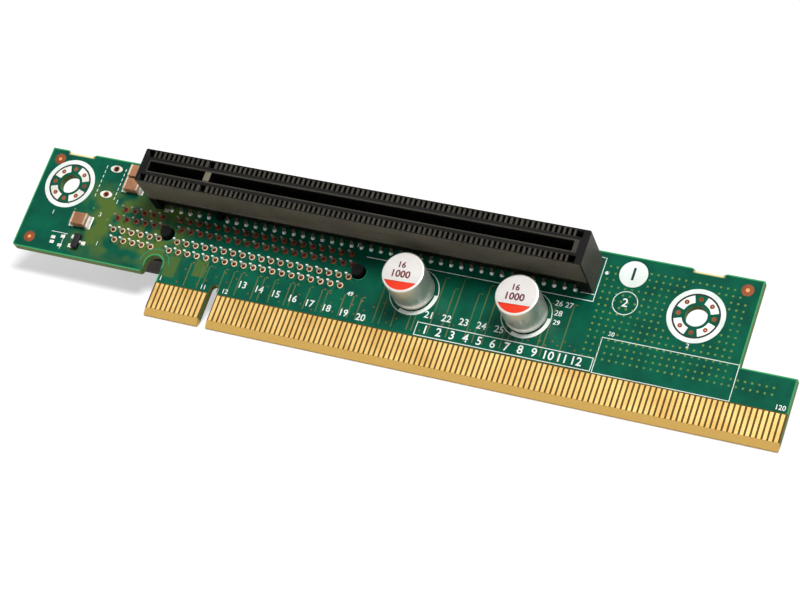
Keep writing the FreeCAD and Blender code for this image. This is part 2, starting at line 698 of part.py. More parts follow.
def make_sot():
    """Three-lead part: a moulded body, one lead on its right and two on its left."""
    place = ("Sizes.sot_x", "Sizes.sot_y", HALF_BOARD)
    body = new_body("sot_body", place)
    block = new_sketch(body, "sot_block", "XY_Plane", "Sizes.sot_standoff")
    draw_box(block, "-Sizes.sot_body_width / 2", "Sizes.sot_body_width / 2",
             "-Sizes.sot_body_length / 2", "Sizes.sot_body_length / 2")
    add_pad(body, block, "Sizes.sot_body_height")

    # The XZ plane faces -Y, so a sketch on it moves towards -Y.
    leads = new_body("sot_leads", place)
    single = new_sketch(leads, "sot_single_lead", "XZ_Plane")
    draw_polygon(single, lead_outline(1))
    add_pad(leads, single, "Sizes.sot_lead_width", midplane=True)
    pair = new_sketch(leads, "sot_lead_pair", "XZ_Plane", "Sizes.sot_lead_pitch / 2")
    draw_polygon(pair, lead_outline(-1))
    lower = add_pad(leads, pair, "Sizes.sot_lead_width", midplane=True)
    add_row(leads, lower, "Sizes.sot_lead_pitch", "2", along="Y_Axis")
    return [body, leads]


# ---------------------------------------------------------------------------
# Build, check and export
# ---------------------------------------------------------------------------
def check_document():
    """Stop if any object failed to recompute."""
    for item in doc.Objects:
        bad = [state for state in item.State if "Invalid" in state or "Error" in state]
        if bad:
            raise RuntimeError(f"{item.Name} is {bad}")


def export_nodes(nodes):
    """Write one STEP file per sub-part, named after its label."""
    os.makedirs("parts", exist_ok=True)
    for node in nodes:
        if node.Shape.isNull() or not node.Shape.isValid():
            raise RuntimeError(f"{node.Label} has no valid shape")
        node.Shape.exportStep(os.path.join("parts", f"{node.Label}.step"))
        print(f"{node.Label}: {len(node.Shape.Solids)} solids, {node.Shape.Volume:.2f} mm3")


nodes = [make_board()]
nodes += make_fingers()
nodes += make_sockets()
nodes += make_capacitors()
for chip_number in (1, 2, 3):
    nodes += make_chip(chip_number)
nodes += make_sot()
doc.recompute()
check_document()
export_nodes(nodes)
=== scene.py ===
"""Studio scene for a PCI Express riser card with a front socket and a back socket."""
import logging
import math
from dataclasses import dataclass
from enum import Enum
from typing import Callable, Iterable, Optional, Sequence

import bmesh
import bpy
from mathutils import Matrix, Vector


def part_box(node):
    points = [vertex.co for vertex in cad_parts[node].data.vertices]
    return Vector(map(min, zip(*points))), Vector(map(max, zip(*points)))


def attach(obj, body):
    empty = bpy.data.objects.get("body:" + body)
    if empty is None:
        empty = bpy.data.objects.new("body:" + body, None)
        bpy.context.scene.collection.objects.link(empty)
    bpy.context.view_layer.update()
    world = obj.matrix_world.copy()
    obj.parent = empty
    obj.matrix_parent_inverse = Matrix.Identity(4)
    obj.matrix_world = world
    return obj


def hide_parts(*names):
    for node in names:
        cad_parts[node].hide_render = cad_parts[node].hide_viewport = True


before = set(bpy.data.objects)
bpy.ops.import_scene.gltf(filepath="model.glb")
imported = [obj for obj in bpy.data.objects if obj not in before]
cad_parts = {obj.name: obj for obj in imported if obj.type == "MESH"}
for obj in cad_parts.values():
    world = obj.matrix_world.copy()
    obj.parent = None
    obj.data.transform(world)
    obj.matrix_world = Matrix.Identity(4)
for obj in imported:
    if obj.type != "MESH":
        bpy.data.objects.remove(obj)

log = logging.getLogger("riser_card")
MM = 0.001
Colour = tuple[float, float, float, float]
Spot = tuple[float, float]
Piece = bpy.types.Object


def shade(red: int, green: int, blue: int) -> Colour:
    """Linear colour from a screen colour.

    Args:
        red: Red, 0 to 255.
        green: Green, 0 to 255.
        blue: Blue, 0 to 255.

    Returns:
        The colour, opaque.
    """
    def linear(part: int) -> float:
        """One channel, decoded from the screen's curve."""
        level = part / 255
        return level / 12.92 if level <= 0.04045 else ((level + 0.055) / 1.055) ** 2.4
    return (linear(red), linear(green), linear(blue), 1.0)


# ---------------------------------------------------------------------------
# Shader graphs
# ---------------------------------------------------------------------------
class Graph:
    """Short way to add and link the nodes of one tree."""

    def __init__(self, tree: bpy.types.NodeTree) -> None:
        """Keep the tree that the nodes go into."""
        self.tree = tree

    def add(self, kind: str, inputs: Optional[dict] = None, **fields: object) -> bpy.types.Node:
        """Add a node.

        Args:
            kind: Type of the node.
            inputs: Socket names or numbers, each with a plain value or a socket to link.
            **fields: Properties set on the node itself.

        Returns:
            The new node.
        """
        node = self.tree.nodes.new(kind)
        for name, value in fields.items():
            setattr(node, name, value)
        for name, value in (inputs or {}).items():
            if isinstance(value, bpy.types.NodeSocket):
                self.tree.links.new(value, node.inputs[name])
            else:
                node.inputs[name].default_value = value
        return node

    def maths(self, operation: str, first: object, second: object = 0.0, clamp: bool = False) -> object:
        """Result socket of one arithmetic node."""
        node = self.add("ShaderNodeMath", {0: first, 1: second}, operation=operation, use_clamp=clamp)
        return node.outputs[0]

    def ramp(self, value: object, low: float, high: float) -> object:
        """Clamped 0 to 1 socket as value goes from low to high."""
        node = self.add("ShaderNodeMapRange", {"Value": value, "From Min": low, "From Max": high})
        return node.outputs[0]

    def noise(self, place: object, scale: float, detail: float = 3.0) -> object:
        """Noise socket from 0 to 1 over a place."""
        node = self.add("ShaderNodeTexNoise", {"Vector": place, "Scale": scale, "Detail": detail})
        return node.outputs["Fac"]

    def blend(self, mask: object, first: object, second: object) -> object:
        """Colour that goes from first to second as the mask goes from 0 to 1."""
        node = self.add("ShaderNodeMix", {0: mask, 6: first, 7: second}, data_type="RGBA")
        return node.outputs[2]

    def gap(self, first: object, second: object) -> object:
        """Distance between two values."""
        return self.maths("ABSOLUTE", self.maths("SUBTRACT", first, second))

    def call(self, group: bpy.types.NodeTree, place: object, **floats: float) -> bpy.types.Node:
        """Add a shader group at a place, with values for its float inputs."""
        return self.add("ShaderNodeGroup", {"Place": place, **floats}, node_tree=group)

    def coat(self, surface: bpy.types.Node, colour: object, rough: object, height: object,
             depth: float, strength: float = 0.6) -> None:
        """Give a surface its colour, roughness and bump.

        Args:
            surface: Principled node.
            colour: Colour socket.
            rough: Roughness socket.
            height: Bump height socket.
            depth: Depth of the bump in metres.
            strength: Strength of the bump.
        """
        bump = self.add("ShaderNodeBump", {"Height": height, "Strength": strength, "Distance": depth})
        for name, socket in (("Base Color", colour), ("Roughness", rough), ("Normal", bump.outputs[0])):
            self.tree.links.new(socket, surface.inputs[name])


def new_group(name: str, wants: Sequence[tuple[str, float]],
              gives: Sequence[str]) -> tuple[bpy.types.NodeTree, Graph, object, object]:
    """Empty shader group with a Place input.

    Args:
        name: Name of the group.
        wants: Float inputs and their defaults.
        gives: Float outputs.

    Returns:
        The group, a graph on it, and its input and output nodes.
    """
    group = bpy.data.node_groups.new(name, "ShaderNodeTree")
    group.interface.new_socket("Place", in_out="INPUT", socket_type="NodeSocketVector")
    for label, default in wants:
        socket = group.interface.new_socket(label, in_out="INPUT", socket_type="NodeSocketFloat")
        socket.default_value = default
    for label in gives:
        group.interface.new_socket(label, in_out="OUTPUT", socket_type="NodeSocketFloat")
    graph = Graph(group)
    return group, graph, graph.add("NodeGroupInput"), graph.add("NodeGroupOutput")


def make_patina_group() -> bpy.types.NodeTree:
    """Shared surface unevenness: broad stains, a fine grain and a bump height.

    Returns:
        The group.
    """
    group, graph, start, end = new_group("patina", [("Coarse", 200.0), ("Fine", 3000.0)],
                                         ["Stain", "Grain", "Height"])
    place = start.outputs["Place"]
    stain = graph.add("ShaderNodeTexNoise", {"Vector": place, "Scale": start.outputs["Coarse"],
                                             "Detail": 4.0}).outputs["Fac"]
    grain = graph.add("ShaderNodeTexNoise", {"Vector": place, "Scale": start.outputs["Fine"],
                                             "Detail": 2.0}).outputs["Fac"]
    graph.tree.links.new(graph.ramp(stain, 0.3, 0.7), end.inputs["Stain"])
    graph.tree.links.new(graph.ramp(grain, 0.25, 0.75), end.inputs["Grain"])
    graph.tree.links.new(graph.maths("ADD", graph.maths("MULTIPLY", stain, 0.6),
                                     graph.maths("MULTIPLY", grain, 0.4)), end.inputs["Height"])
    return group


@dataclass(frozen=True)
class Finish:
    """A plain finish with a patina.

    Attributes:
        name: Name of the material.
        light: Colour where the stain is light.
        dark: Colour where the stain is dark.
        metallic: 1 for metal.
        roughness: Lowest roughness.
        spread: How much the grain adds to the roughness.
        bump: Depth of the bump in metres.
        coarse: Scale of the stains.
        fine: Scale of the grain.
        mirror: Specular level.
    """
    name: str
    light: Colour
    dark: Colour
    metallic: float = 0.0
    roughness: float = 0.45
    spread: float = 0.15
    bump: float = 0.000004
    coarse: float = 220.0
    fine: float = 3500.0
    mirror: float = 0.5

    def build(self, patina: bpy.types.NodeTree) -> bpy.types.Material:
        """Make the material.

        Args:
            patina: The shared unevenness group.

        Returns:
            The material.
        """
        material, graph, surface, place = new_material(self.name)
        group = graph.call(patina, place, Coarse=self.coarse, Fine=self.fine)
        colour = graph.blend(group.outputs["Stain"], self.dark, self.light)
        rough = graph.maths("ADD", graph.maths("MULTIPLY", group.outputs["Grain"], self.spread),
                            self.roughness, clamp=True)
        graph.coat(surface, colour, rough, group.outputs["Height"], self.bump)
        surface.inputs["Metallic"].default_value = self.metallic
        surface.inputs["Specular IOR Level"].default_value = self.mirror
        return material


def new_material(name: str) -> tuple[bpy.types.Material, Graph, bpy.types.Node, object]:
    """Material with a Principled surface.

    Args:
        name: Name of the material.

    Returns:
        The material, a graph on it, its Principled node and its Object coordinates.
    """
    material = bpy.data.materials.new(name)
    material.use_nodes = True
    graph = Graph(material.node_tree)
    surface = next(node for node in graph.tree.nodes if node.type == "BSDF_PRINCIPLED")
    place = graph.add("ShaderNodeTexCoord").outputs["Object"]
    return material, graph, surface, place


class Paint(Enum):
    """Plain finishes of the card's pieces."""
    GOLD = Finish("gold_plating", shade(228, 192, 120), shade(202, 160, 86), 0.6, 0.46, 0.18)
    SILVER = Finish("can_aluminium", shade(228, 227, 220), shade(208, 208, 202), 0.85, 0.3, 0.12,
                    0.000003, 260.0, 1800.0)
    RUBBER = Finish("bung_rubber", shade(26, 25, 24), shade(18, 17, 17), 0.0, 0.6, 0.2)
    TIN = Finish("tinned_metal", shade(240, 238, 232), shade(204, 200, 190), 0.6, 0.32, 0.2)
    CREAM = Finish("tinned_land", shade(238, 218, 184), shade(208, 172, 130), 0.5, 0.36, 0.2)
    COPPER = Finish("bare_copper", shade(150, 84, 52), shade(104, 52, 32), 0.3, 0.4, 0.2, mirror=0.2)
    BRIGHT_COPPER = Finish("bright_copper", shade(244, 160, 92), shade(226, 130, 66), 0.4, 0.4, 0.2)
    DARK_COPPER = Finish("joint_copper", shade(104, 34, 22), shade(66, 22, 14), 0.1, 0.42, 0.2, mirror=0.2)
    CERAMIC = Finish("chip_ceramic", shade(166, 122, 90), shade(136, 92, 64), 0.0, 0.42, 0.2, mirror=0.2)
    TERMINAL = Finish("chip_terminal", shade(206, 182, 160), shade(172, 142, 120), 0.3, 0.4, 0.2)
    SOT = Finish("moulded_black", shade(26, 25, 25), shade(18, 17, 18), 0.0, 0.4, 0.2, mirror=0.25)
    SILK = Finish("silk_print", shade(232, 236, 232), shade(208, 216, 210), 0.0, 0.55, 0.15, mirror=0.2)
    WHITE_TOP = Finish("can_top_white", shade(214, 210, 206), shade(204, 200, 196), 0.0, 0.4, 0.1, mirror=0.2)
    RED_TOP = Finish("can_top_red", shade(226, 60, 34), shade(208, 46, 24), 0.0, 0.4, 0.1, mirror=0.2)
    INK = Finish("can_top_ink", shade(112, 48, 54), shade(84, 40, 46), 0.0, 0.5, 0.1, mirror=0.2)
    TENTED_VIA = Finish("tented_via", shade(112, 134, 58), shade(66, 112, 60), 0.0, 0.35, 0.15, mirror=0.15)
    TRACE = Finish("masked_trace", shade(104, 100, 54), shade(50, 96, 62), 0.0, 0.35, 0.15, mirror=0.15)
    PALE_MASK = Finish("pale_mask", shade(52, 132, 104), shade(30, 110, 86), 0.0, 0.35, 0.15, mirror=0.15)
    BROWN_VIA = Finish("brown_via", shade(128, 88, 50), shade(84, 70, 42), 0.0, 0.35, 0.15, mirror=0.15)
    GLYPH = Finish("dark_glyph", shade(20, 60, 48), shade(12, 44, 36), 0.0, 0.4, 0.15, mirror=0.15)


class Palette:
    """All materials of the card, made once."""

    def __init__(self) -> None:
        """Build every finish on one shared patina group."""
        self.patina = make_patina_group()
        self.plain = {paint: paint.value.build(self.patina) for paint in Paint}
        self.board = BoardFinish().build(self.patina)
        # The third set of contacts has a darker tin: painted shade on the back socket's upper rows, which lie
        # in the front socket's shadow.
        self.contacts = {"front": ContactFinish("front_contact", 1.3 * MM, 1).build(self.patina),
                         "back": ContactFinish("back_contact", 1.0 * MM, -1).build(self.patina),
                         "in_shade": ContactFinish("shaded_tail_contact", 1.0 * MM, -1,
                                              tin=shade(150, 140, 130)).build(self.patina)}

    def dress(self, piece: Piece, paint: Paint) -> None:
        """Give a piece one of the plain finishes."""
        wear(piece, self.plain[paint])

    def add(self, piece: Piece, paint: Paint, slot: str, *nodes: str) -> None:
        """Dress a piece, attach it to the card, and hide the CAD nodes that it replaces."""
        self.dress(piece, paint)
        add_piece(piece, slot, *nodes)


def wear(piece: Piece, material: bpy.types.Material) -> None:
    """Put one material on a whole piece.

    Args:
        piece: The piece.
        material: The material for all its slots.
    """
    if not piece.material_slots:
        piece.data.materials.append(material)
    for slot in piece.material_slots:
        slot.link = "OBJECT"
        slot.material = material
    for index in range(len(piece.data.materials)):
        if piece.data.users == 1 and piece.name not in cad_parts:
            piece.data.materials[index] = material


@dataclass(frozen=True)
class MouldingFinish:
    """Black plastic of a socket, with painted light: long sides and end faces lighter than the darker top as
    painted reflection and painted light, painted highlights on the lips and the key, and painted shade in the
    openings and on the lower sides.

    Attributes:
        name: Name of the material.
        middle: Y of the socket's centre line in metres.
        mouth: Distance of the socket's top from the board's mid-plane.
        low: X of the near end.
        high: X of the far end.
        half: Half of the socket's width.
        key: X of the key that parts the slot.
        waist: Distance from the board's mid-plane below which the long sides are painted black as shade.
        teeth: Distance of the middle of the window rows from the centre line.
        side: Colour of the long sides, lighter than the top as a painted reflection.
        end: Colour of the end faces, lighter than the top as painted light.
        top: Colour of the top.
        lip: Painted highlight on the top next to the slot and between the windows.
        rib: Painted highlight on the key.
        hollow: Painted shade inside the openings and on the lower sides.
    """
    name: str
    middle: float
    mouth: float
    low: float
    high: float
    key: float
    half: float = 3.45 * MM
    # Height of the painted shade on the lower long sides.
    waist: float = 5.0 * MM
    teeth: float = 2.55 * MM
    # Painted reflection and painted light: the long sides and the end faces are lighter than the top.
    side: Colour = shade(84, 79, 69)
    end: Colour = shade(64, 61, 55)
    top: Colour = shade(14, 13, 12)
    # Painted highlights: the lips and the key are lighter than the top.
    lip: Colour = shade(62, 59, 52)
    rib: Colour = shade(112, 106, 92)
    # Painted shade: the openings are blacker than the top.
    hollow: Colour = shade(8, 8, 8)

    def build(self, patina: bpy.types.NodeTree) -> bpy.types.Material:
        """Make the material.

        Args:
            patina: The shared unevenness group.

        Returns:
            The material.
        """
        material, graph, surface, place = new_material(self.name)
        group = graph.call(patina, place, Coarse=120.0, Fine=2600.0)
        x, y, z = graph.add("ShaderNodeSeparateXYZ", {0: place}).outputs
        across = graph.gap(y, self.middle)
        # Painted shade: deep in the openings the colour turns to the hollow black.
        deep = graph.ramp(graph.maths("ABSOLUTE", z), self.mouth - 0.12 * MM, self.mouth - 0.3 * MM)
        beyond = graph.maths("MAXIMUM", graph.maths("SUBTRACT", self.low, x),
                             graph.maths("SUBTRACT", x, self.high))
        # Painted highlights: the top beside the slot, between the windows and on the key is lighter.
        lip = graph.ramp(across, 1.35 * MM, 1.2 * MM)
        lip = graph.maths("MAXIMUM", lip, graph.ramp(graph.gap(across, self.teeth), 0.68 * MM, 0.6 * MM))
        lip = graph.maths("MULTIPLY", lip, graph.ramp(beyond, -1.5 * MM, -1.7 * MM))
        from_key = graph.maths("MAXIMUM", graph.gap(x, self.key), across)
        colour = graph.blend(lip, self.top, self.lip)
        colour = graph.blend(graph.ramp(from_key, 0.95 * MM, 0.85 * MM), colour, self.rib)
        colour = graph.blend(deep, colour, self.hollow)
        # Painted light: the end faces get their lighter colour.
        colour = graph.blend(graph.ramp(beyond, -0.04 * MM, -0.01 * MM), colour, self.end)
        # Painted reflection: the long sides get their lighter colour.
        side = graph.ramp(across, self.half - 0.05 * MM, self.half - 0.01 * MM)
        # Painted shade: below the shade height the long sides turn black.
        raised = graph.ramp(graph.maths("ABSOLUTE", z), self.waist, self.waist + 0.3 * MM)
        colour = graph.blend(side, colour, graph.blend(raised, self.hollow, self.side))
        worn = graph.maths("ADD", graph.maths("MULTIPLY", group.outputs["Stain"], 0.35), 0.75)
        tone = graph.add("ShaderNodeCombineXYZ", {0: worn, 1: worn, 2: worn}).outputs[0]
        shaded = graph.add("ShaderNodeVectorMath", {0: colour, 1: tone}, operation="MULTIPLY").outputs[0]
        rough = graph.maths("ADD", graph.maths("MULTIPLY", group.outputs["Grain"], 0.2), 0.38)
        graph.coat(surface, shaded, rough, group.outputs["Height"], 0.000006)
        surface.inputs["Specular IOR Level"].default_value = 0.12
        return material


@dataclass(frozen=True)
class ContactFinish:
    """Socket contacts: gold, darkened as painted shade, in the housing and on the front tails above their
    feet; tinned at the tail that meets the board.

    Attributes:
        name: Name of the material.
        change: Distance from the board's mid-plane at which tin gives way to the darkened gold.
        up: 1 if the housing is above the board, -1 if it is below.
        gold: Gold darkened as painted shade, for the contacts in the housing.
        tin: Colour of the tail.
        flux: Dark red-brown colour of the tail's foot on the component side.
        foot: Height at which the foot ends.
    """
    name: str
    change: float
    up: int
    # Painted shade: the gold is darkened as the contacts sit deep in the housing and under its overhang.
    gold: Colour = shade(64, 50, 28)
    tin: Colour = shade(246, 244, 240)
    flux: Colour = shade(118, 52, 36)
    foot: float = 1.45 * MM

    def build(self, patina: bpy.types.NodeTree) -> bpy.types.Material:
        """Make the material.

        Args:
            patina: The shared unevenness group.

        Returns:
            The material.
        """
        material, graph, surface, place = new_material(self.name)
        group = graph.call(patina, place)
        height = graph.add("ShaderNodeSeparateXYZ", {0: place}).outputs[2]
        # Painted shade: past the change height the contacts take the darkened gold.
        inside = graph.ramp(graph.maths("MULTIPLY", height, float(self.up)), self.change,
                            self.change + 0.1 * MM)
        raised = graph.ramp(height, self.foot, self.foot + 0.25 * MM)
        tail = graph.blend(raised, self.flux, self.tin) if self.up < 0 else self.tin
        graph.tree.links.new(graph.blend(inside, tail, self.gold), surface.inputs["Base Color"])
        rough = graph.maths("ADD", graph.maths("MULTIPLY", group.outputs["Grain"], 0.15), 0.3)
        graph.tree.links.new(rough, surface.inputs["Roughness"])
        surface.inputs["Metallic"].default_value = 0.6
        return material


@dataclass(frozen=True)
class BoardFinish:
    """Laminate under a green solder mask, bare at its edges and round its card contacts.

    Lengths are in metres from the frame's origin.
    """
    green: Colour = shade(0, 88, 64)
    deep: Colour = shade(0, 68, 52)
    olive: Colour = shade(74, 98, 42)
    margin: Colour = shade(54, 148, 92)
    bare: Colour = shade(86, 70, 32)
    bevel: Colour = shade(188, 152, 82)
    rim: Colour = shade(92, 108, 62)
    raw: Colour = shade(226, 214, 160)
    half: float = 0.785 * MM
    finger_top: float = 6.75 * MM
    bevel_top: float = 1.35 * MM
    left: float = -44.7 * MM
    right: float = 99.9 * MM
    ear_low: float = 8.2 * MM
    top: float = 30.1 * MM
    edge_left: float = -12.15 * MM
    edge_right: float = 110.15 * MM
    step: float = 13.35 * MM
    notch: Spot = (-14.025 * MM, 10.175 * MM)
    notch_radius: float = 1.875 * MM
    margin_width: float = 0.28 * MM
    recesses: tuple[float, float] = (-38.05 * MM, 89.9 * MM)
    recess_half: float = 3.0 * MM
    planes: tuple[tuple[float, float, float, float], ...] = (
        (-11.6 * MM, -9.0 * MM, 8.2 * MM, 12.4 * MM), (-5.6 * MM, -3.0 * MM, 9.4 * MM, 12.9 * MM))

    def masks(self) -> bpy.types.NodeTree:
        """Group that tells the board's regions apart by their place.

        Returns:
            The group.
        """
        group, graph, start, end = new_group("board_regions", [],
                                             ["Margin", "Fingers", "Bevel", "Face", "Olive", "Plane", "Raw"])
        x, y, z = graph.add("ShaderNodeSeparateXYZ", {0: start.outputs["Place"]}).outputs

        def inner(low_x: float, high_x: float, low_y: float, high_y: float) -> object:
            """Distance inwards from a rectangle's sides.

            Args:
                low_x: Left side.
                high_x: Right side.
                low_y: Lower side.
                high_y: Upper side.

            Returns:
                The distance socket.
            """
            across = graph.maths("MINIMUM", graph.maths("SUBTRACT", x, low_x),
                                 graph.maths("SUBTRACT", high_x, x))
            along = graph.maths("MINIMUM", graph.maths("SUBTRACT", y, low_y),
                                graph.maths("SUBTRACT", high_y, y))
            return graph.maths("MINIMUM", across, along)

        def away(spot: Spot) -> object:
            """Distance from a point in the board's plane.

            Args:
                spot: The point.

            Returns:
                The distance socket.
            """
            along = graph.maths("SUBTRACT", x, spot[0])
            across = graph.maths("SUBTRACT", y, spot[1])
            return graph.maths("SQRT", graph.maths("ADD", graph.maths("MULTIPLY", along, along),
                                                   graph.maths("MULTIPLY", across, across)))

        body = inner(self.left, self.right, self.ear_low, self.top)
        edge = inner(self.edge_left, self.edge_right, 0.0, self.step)
        depth = graph.maths("MAXIMUM", body, edge)
        depth = graph.maths("MINIMUM", depth, graph.maths("SUBTRACT", away(self.notch), self.notch_radius))
        wide = self.margin_width
        near = [graph.gap(x, spot) for spot in self.recesses]
        broken = graph.ramp(graph.maths("MINIMUM", *near), self.recess_half, self.recess_half - 0.6 * MM)
        outputs = {
            "Margin": graph.ramp(depth, wide, wide * 0.75),
            "Fingers": graph.ramp(y, self.finger_top, self.finger_top - 0.02 * MM),
            "Bevel": graph.ramp(y, self.bevel_top, self.bevel_top - 0.02 * MM),
            "Face": graph.ramp(graph.maths("ABSOLUTE", z), self.half - 0.03 * MM, self.half - 0.01 * MM),
            "Olive": graph.ramp(inner(-33.0 * MM, -9.0 * MM, 9.0 * MM, 24.0 * MM), -1.5 * MM, 3.0 * MM),
            "Plane": graph.maths("MAXIMUM", *[graph.ramp(inner(*sides), -0.1 * MM, 0.1 * MM)
                                              for sides in self.planes]),
            "Raw": graph.maths("MULTIPLY", broken, graph.ramp(y, self.top - 0.95 * MM, self.top - 0.7 * MM)),
        }
        for name, socket in outputs.items():
            graph.tree.links.new(socket, end.inputs[name])
        return group

    def build(self, patina: bpy.types.NodeTree) -> bpy.types.Material:
        """Make the material.

        Args:
            patina: The shared unevenness group.

        Returns:
            The material.
        """
        material, graph, surface, place = new_material("board_laminate")
        stain = graph.call(patina, place, Coarse=260.0)
        region = graph.call(self.masks(), place)
        patches = graph.ramp(graph.noise(place, 300.0, 1.0), 0.36, 0.56)
        mask = graph.blend(stain.outputs["Stain"], self.deep, self.green)
        olive = graph.maths("MULTIPLY", region.outputs["Olive"], patches)
        olive = graph.maths("MAXIMUM", olive, graph.maths("MULTIPLY", region.outputs["Plane"], 0.8))
        mask = graph.blend(olive, mask, self.olive)
        mask = graph.blend(region.outputs["Margin"], mask, self.margin)
        mask = graph.blend(region.outputs["Fingers"], mask, self.bare)
        mask = graph.blend(region.outputs["Face"], self.rim, mask)
        mask = graph.blend(region.outputs["Raw"], mask, self.raw)
        colour = graph.blend(region.outputs["Bevel"], mask, self.bevel)
        bare = graph.maths("MAXIMUM", region.outputs["Fingers"],
                           graph.maths("SUBTRACT", 1.0, region.outputs["Face"]))
        rough = graph.maths("ADD", graph.maths("MULTIPLY", bare, 0.3),
                            graph.maths("MULTIPLY", stain.outputs["Grain"], 0.12))
        graph.coat(surface, colour, graph.maths("ADD", rough, 0.26), stain.outputs["Height"], 0.00001, 0.35)
        surface.inputs["Specular IOR Level"].default_value = 0.1
        return material


# ---------------------------------------------------------------------------
# Modelling by hand: each tool leaves a piece at the origin, unturned and unscaled
# ---------------------------------------------------------------------------
def deselect() -> None:
    """Leave edit mode and deselect everything."""
    if bpy.context.object and bpy.context.object.mode != "OBJECT":
        bpy.ops.object.mode_set(mode="OBJECT")
    bpy.ops.object.select_all(action="DESELECT")


def pick(piece: Piece) -> None:
    """Make one piece the only selected and active object.

    Args:
        piece: The piece.
    """
    deselect()
    piece.select_set(True)
    bpy.context.view_layer.objects.active = piece


def settle(piece: Piece, name: str) -> Piece:
    """Apply a piece's place, turn and scale to its mesh, and name it.

    Args:
        piece: The piece.
        name: Name for the object and its mesh.

    Returns:
        The same piece.
    """
    pick(piece)
    bpy.ops.object.transform_apply(location=True, rotation=True, scale=True)
    piece.name = piece.data.name = name
    return piece


def apply(piece: Piece, kind: str, **fields: object) -> None:
    """Add a modifier with its fields, and apply it.

    Args:
        piece: The piece.
        kind: The modifier's type.
        **fields: Properties set on the modifier.
    """
    pick(piece)
    modifier = piece.modifiers.new(kind.lower(), kind)
    for name, value in fields.items():
        setattr(modifier, name, value)
    bpy.ops.object.modifier_apply(modifier=modifier.name)


def soften(piece: Piece, width: float, segments: int = 2, angle: float = 30.0) -> None:
    """Bevel a piece's sharp edges and smooth its shading.

    Args:
        piece: The piece.
        width: Bevel width in metres.
        segments: Faces across a bevel.
        angle: Least angle of an edge that is bevelled, in degrees.
    """
    apply(piece, "BEVEL", width=width, segments=segments, limit_method="ANGLE",
          angle_limit=math.radians(angle), use_clamp_overlap=True)
    pick(piece)
    bpy.ops.object.shade_smooth_by_angle(angle=math.radians(35))


def edit(piece: Piece, work: Callable[[], None]) -> None:
    """Do some work on all of a piece's mesh in edit mode.

    Args:
        piece: The piece.
        work: Operators to run on it.
    """
    pick(piece)
    bpy.ops.object.mode_set(mode="EDIT")
    bpy.ops.mesh.select_all(action="SELECT")
    work()
    bpy.ops.object.mode_set(mode="OBJECT")


def outwards() -> None:
    """Turn the selected faces outwards."""
    bpy.ops.mesh.normals_make_consistent(inside=False)


def block(name: str, low: Sequence[float], high: Sequence[float], round_off: float = 0.0) -> Piece:
    """Block between two corners in millimetres.

    Args:
        name: Name of the piece.
        low: Lowest corner.
        high: Highest corner.
        round_off: Bevel width in millimetres, or 0.

    Returns:
        The block.
    """
    deselect()
    middle = [(a + b) / 2 * MM for a, b in zip(low, high)]
    bpy.ops.mesh.primitive_cube_add(size=1.0, location=middle)
    piece = bpy.context.object
    piece.scale = [(b - a) * MM for a, b in zip(low, high)]
    settle(piece, name)
    if round_off:
        soften(piece, round_off * MM)
    return piece


def band(name: str, middle: Spot, inner: float, outer: float, low: float, thick: float,
         start: float = 0.0, sweep: float = 360.0, sides: int = 64, stretch: float = 1.0) -> Piece:
    """Flat ring, or part of one, in millimetres and degrees.

    Args:
        name: Name of the piece.
        middle: Centre of the ring.
        inner: Inner radius.
        outer: Outer radius.
        low: Height of its underside.
        thick: Thickness.
        start: Angle at which an arc begins.
        sweep: Angle that it covers.
        sides: Sides of the full circle.
        stretch: Factor on the outer outline's length along X.

    Returns:
        The ring.
    """
    deselect()
    place = (middle[0] * MM, middle[1] * MM, (low + thick / 2) * MM)
    bpy.ops.mesh.primitive_circle_add(vertices=sides, radius=outer * MM, location=place)
    piece = bpy.context.object
    bpy.ops.object.mode_set(mode="EDIT")
    bpy.ops.mesh.select_all(action="SELECT")
    bpy.ops.mesh.extrude_edges_move()
    bpy.ops.transform.resize(value=(inner / outer, inner / outer, 1.0), center_override=place)
    if sweep < 360.0:
        mesh = bmesh.from_edit_mesh(piece.data)
        for face in mesh.faces:
            spot = face.calc_center_median()
            angle = math.degrees(math.atan2(spot.y, spot.x))
            face.select_set((angle - start) % 360.0 > sweep)
        bmesh.update_edit_mesh(piece.data)
        bpy.ops.mesh.delete(type="FACE")
    bpy.ops.object.mode_set(mode="OBJECT")
    if stretch != 1.0:
        for vertex in piece.data.vertices:
            if vertex.co.xy.length > (inner + outer) / 2 * MM:
                vertex.co.x *= stretch
    settle(piece, name)
    apply(piece, "SOLIDIFY", thickness=thick * MM, offset=0.0)
    edit(piece, outwards)
    return piece


def frame_mark(name: str, low: Spot, high: Spot, level: float, line: float = 0.13) -> Piece:
    """Printed rectangle outline, in millimetres.

    Args:
        name: Name of the piece.
        low: Lower left corner.
        high: Upper right corner.
        level: Height of its middle.
        line: Width of the printed line.

    Returns:
        The outline.
    """
    deselect()
    place = ((low[0] + high[0]) / 2 * MM, (low[1] + high[1]) / 2 * MM, level * MM)
    bpy.ops.mesh.primitive_plane_add(size=1.0, location=place)
    piece = bpy.context.object
    piece.scale = ((high[0] - low[0]) * MM, (high[1] - low[1]) * MM, 1.0)
    settle(piece, name)

    def hollow() -> None:
        """Inset the face and take its middle away."""
        bpy.ops.mesh.inset(thickness=line * MM, depth=0.0)
        bpy.ops.mesh.delete(type="FACE")

    edit(piece, hollow)
    apply(piece, "SOLIDIFY", thickness=PRINT * MM, offset=0.0)
    edit(piece, outwards)
    return piece


def duplicate(piece: Piece) -> Piece:
    """Copy of a piece, with a mesh of its own.

    Args:
        piece: The piece.

    Returns:
        The copy.
    """
    twin = piece.copy()
    twin.data = piece.data.copy()
    bpy.context.collection.objects.link(twin)
    return twin


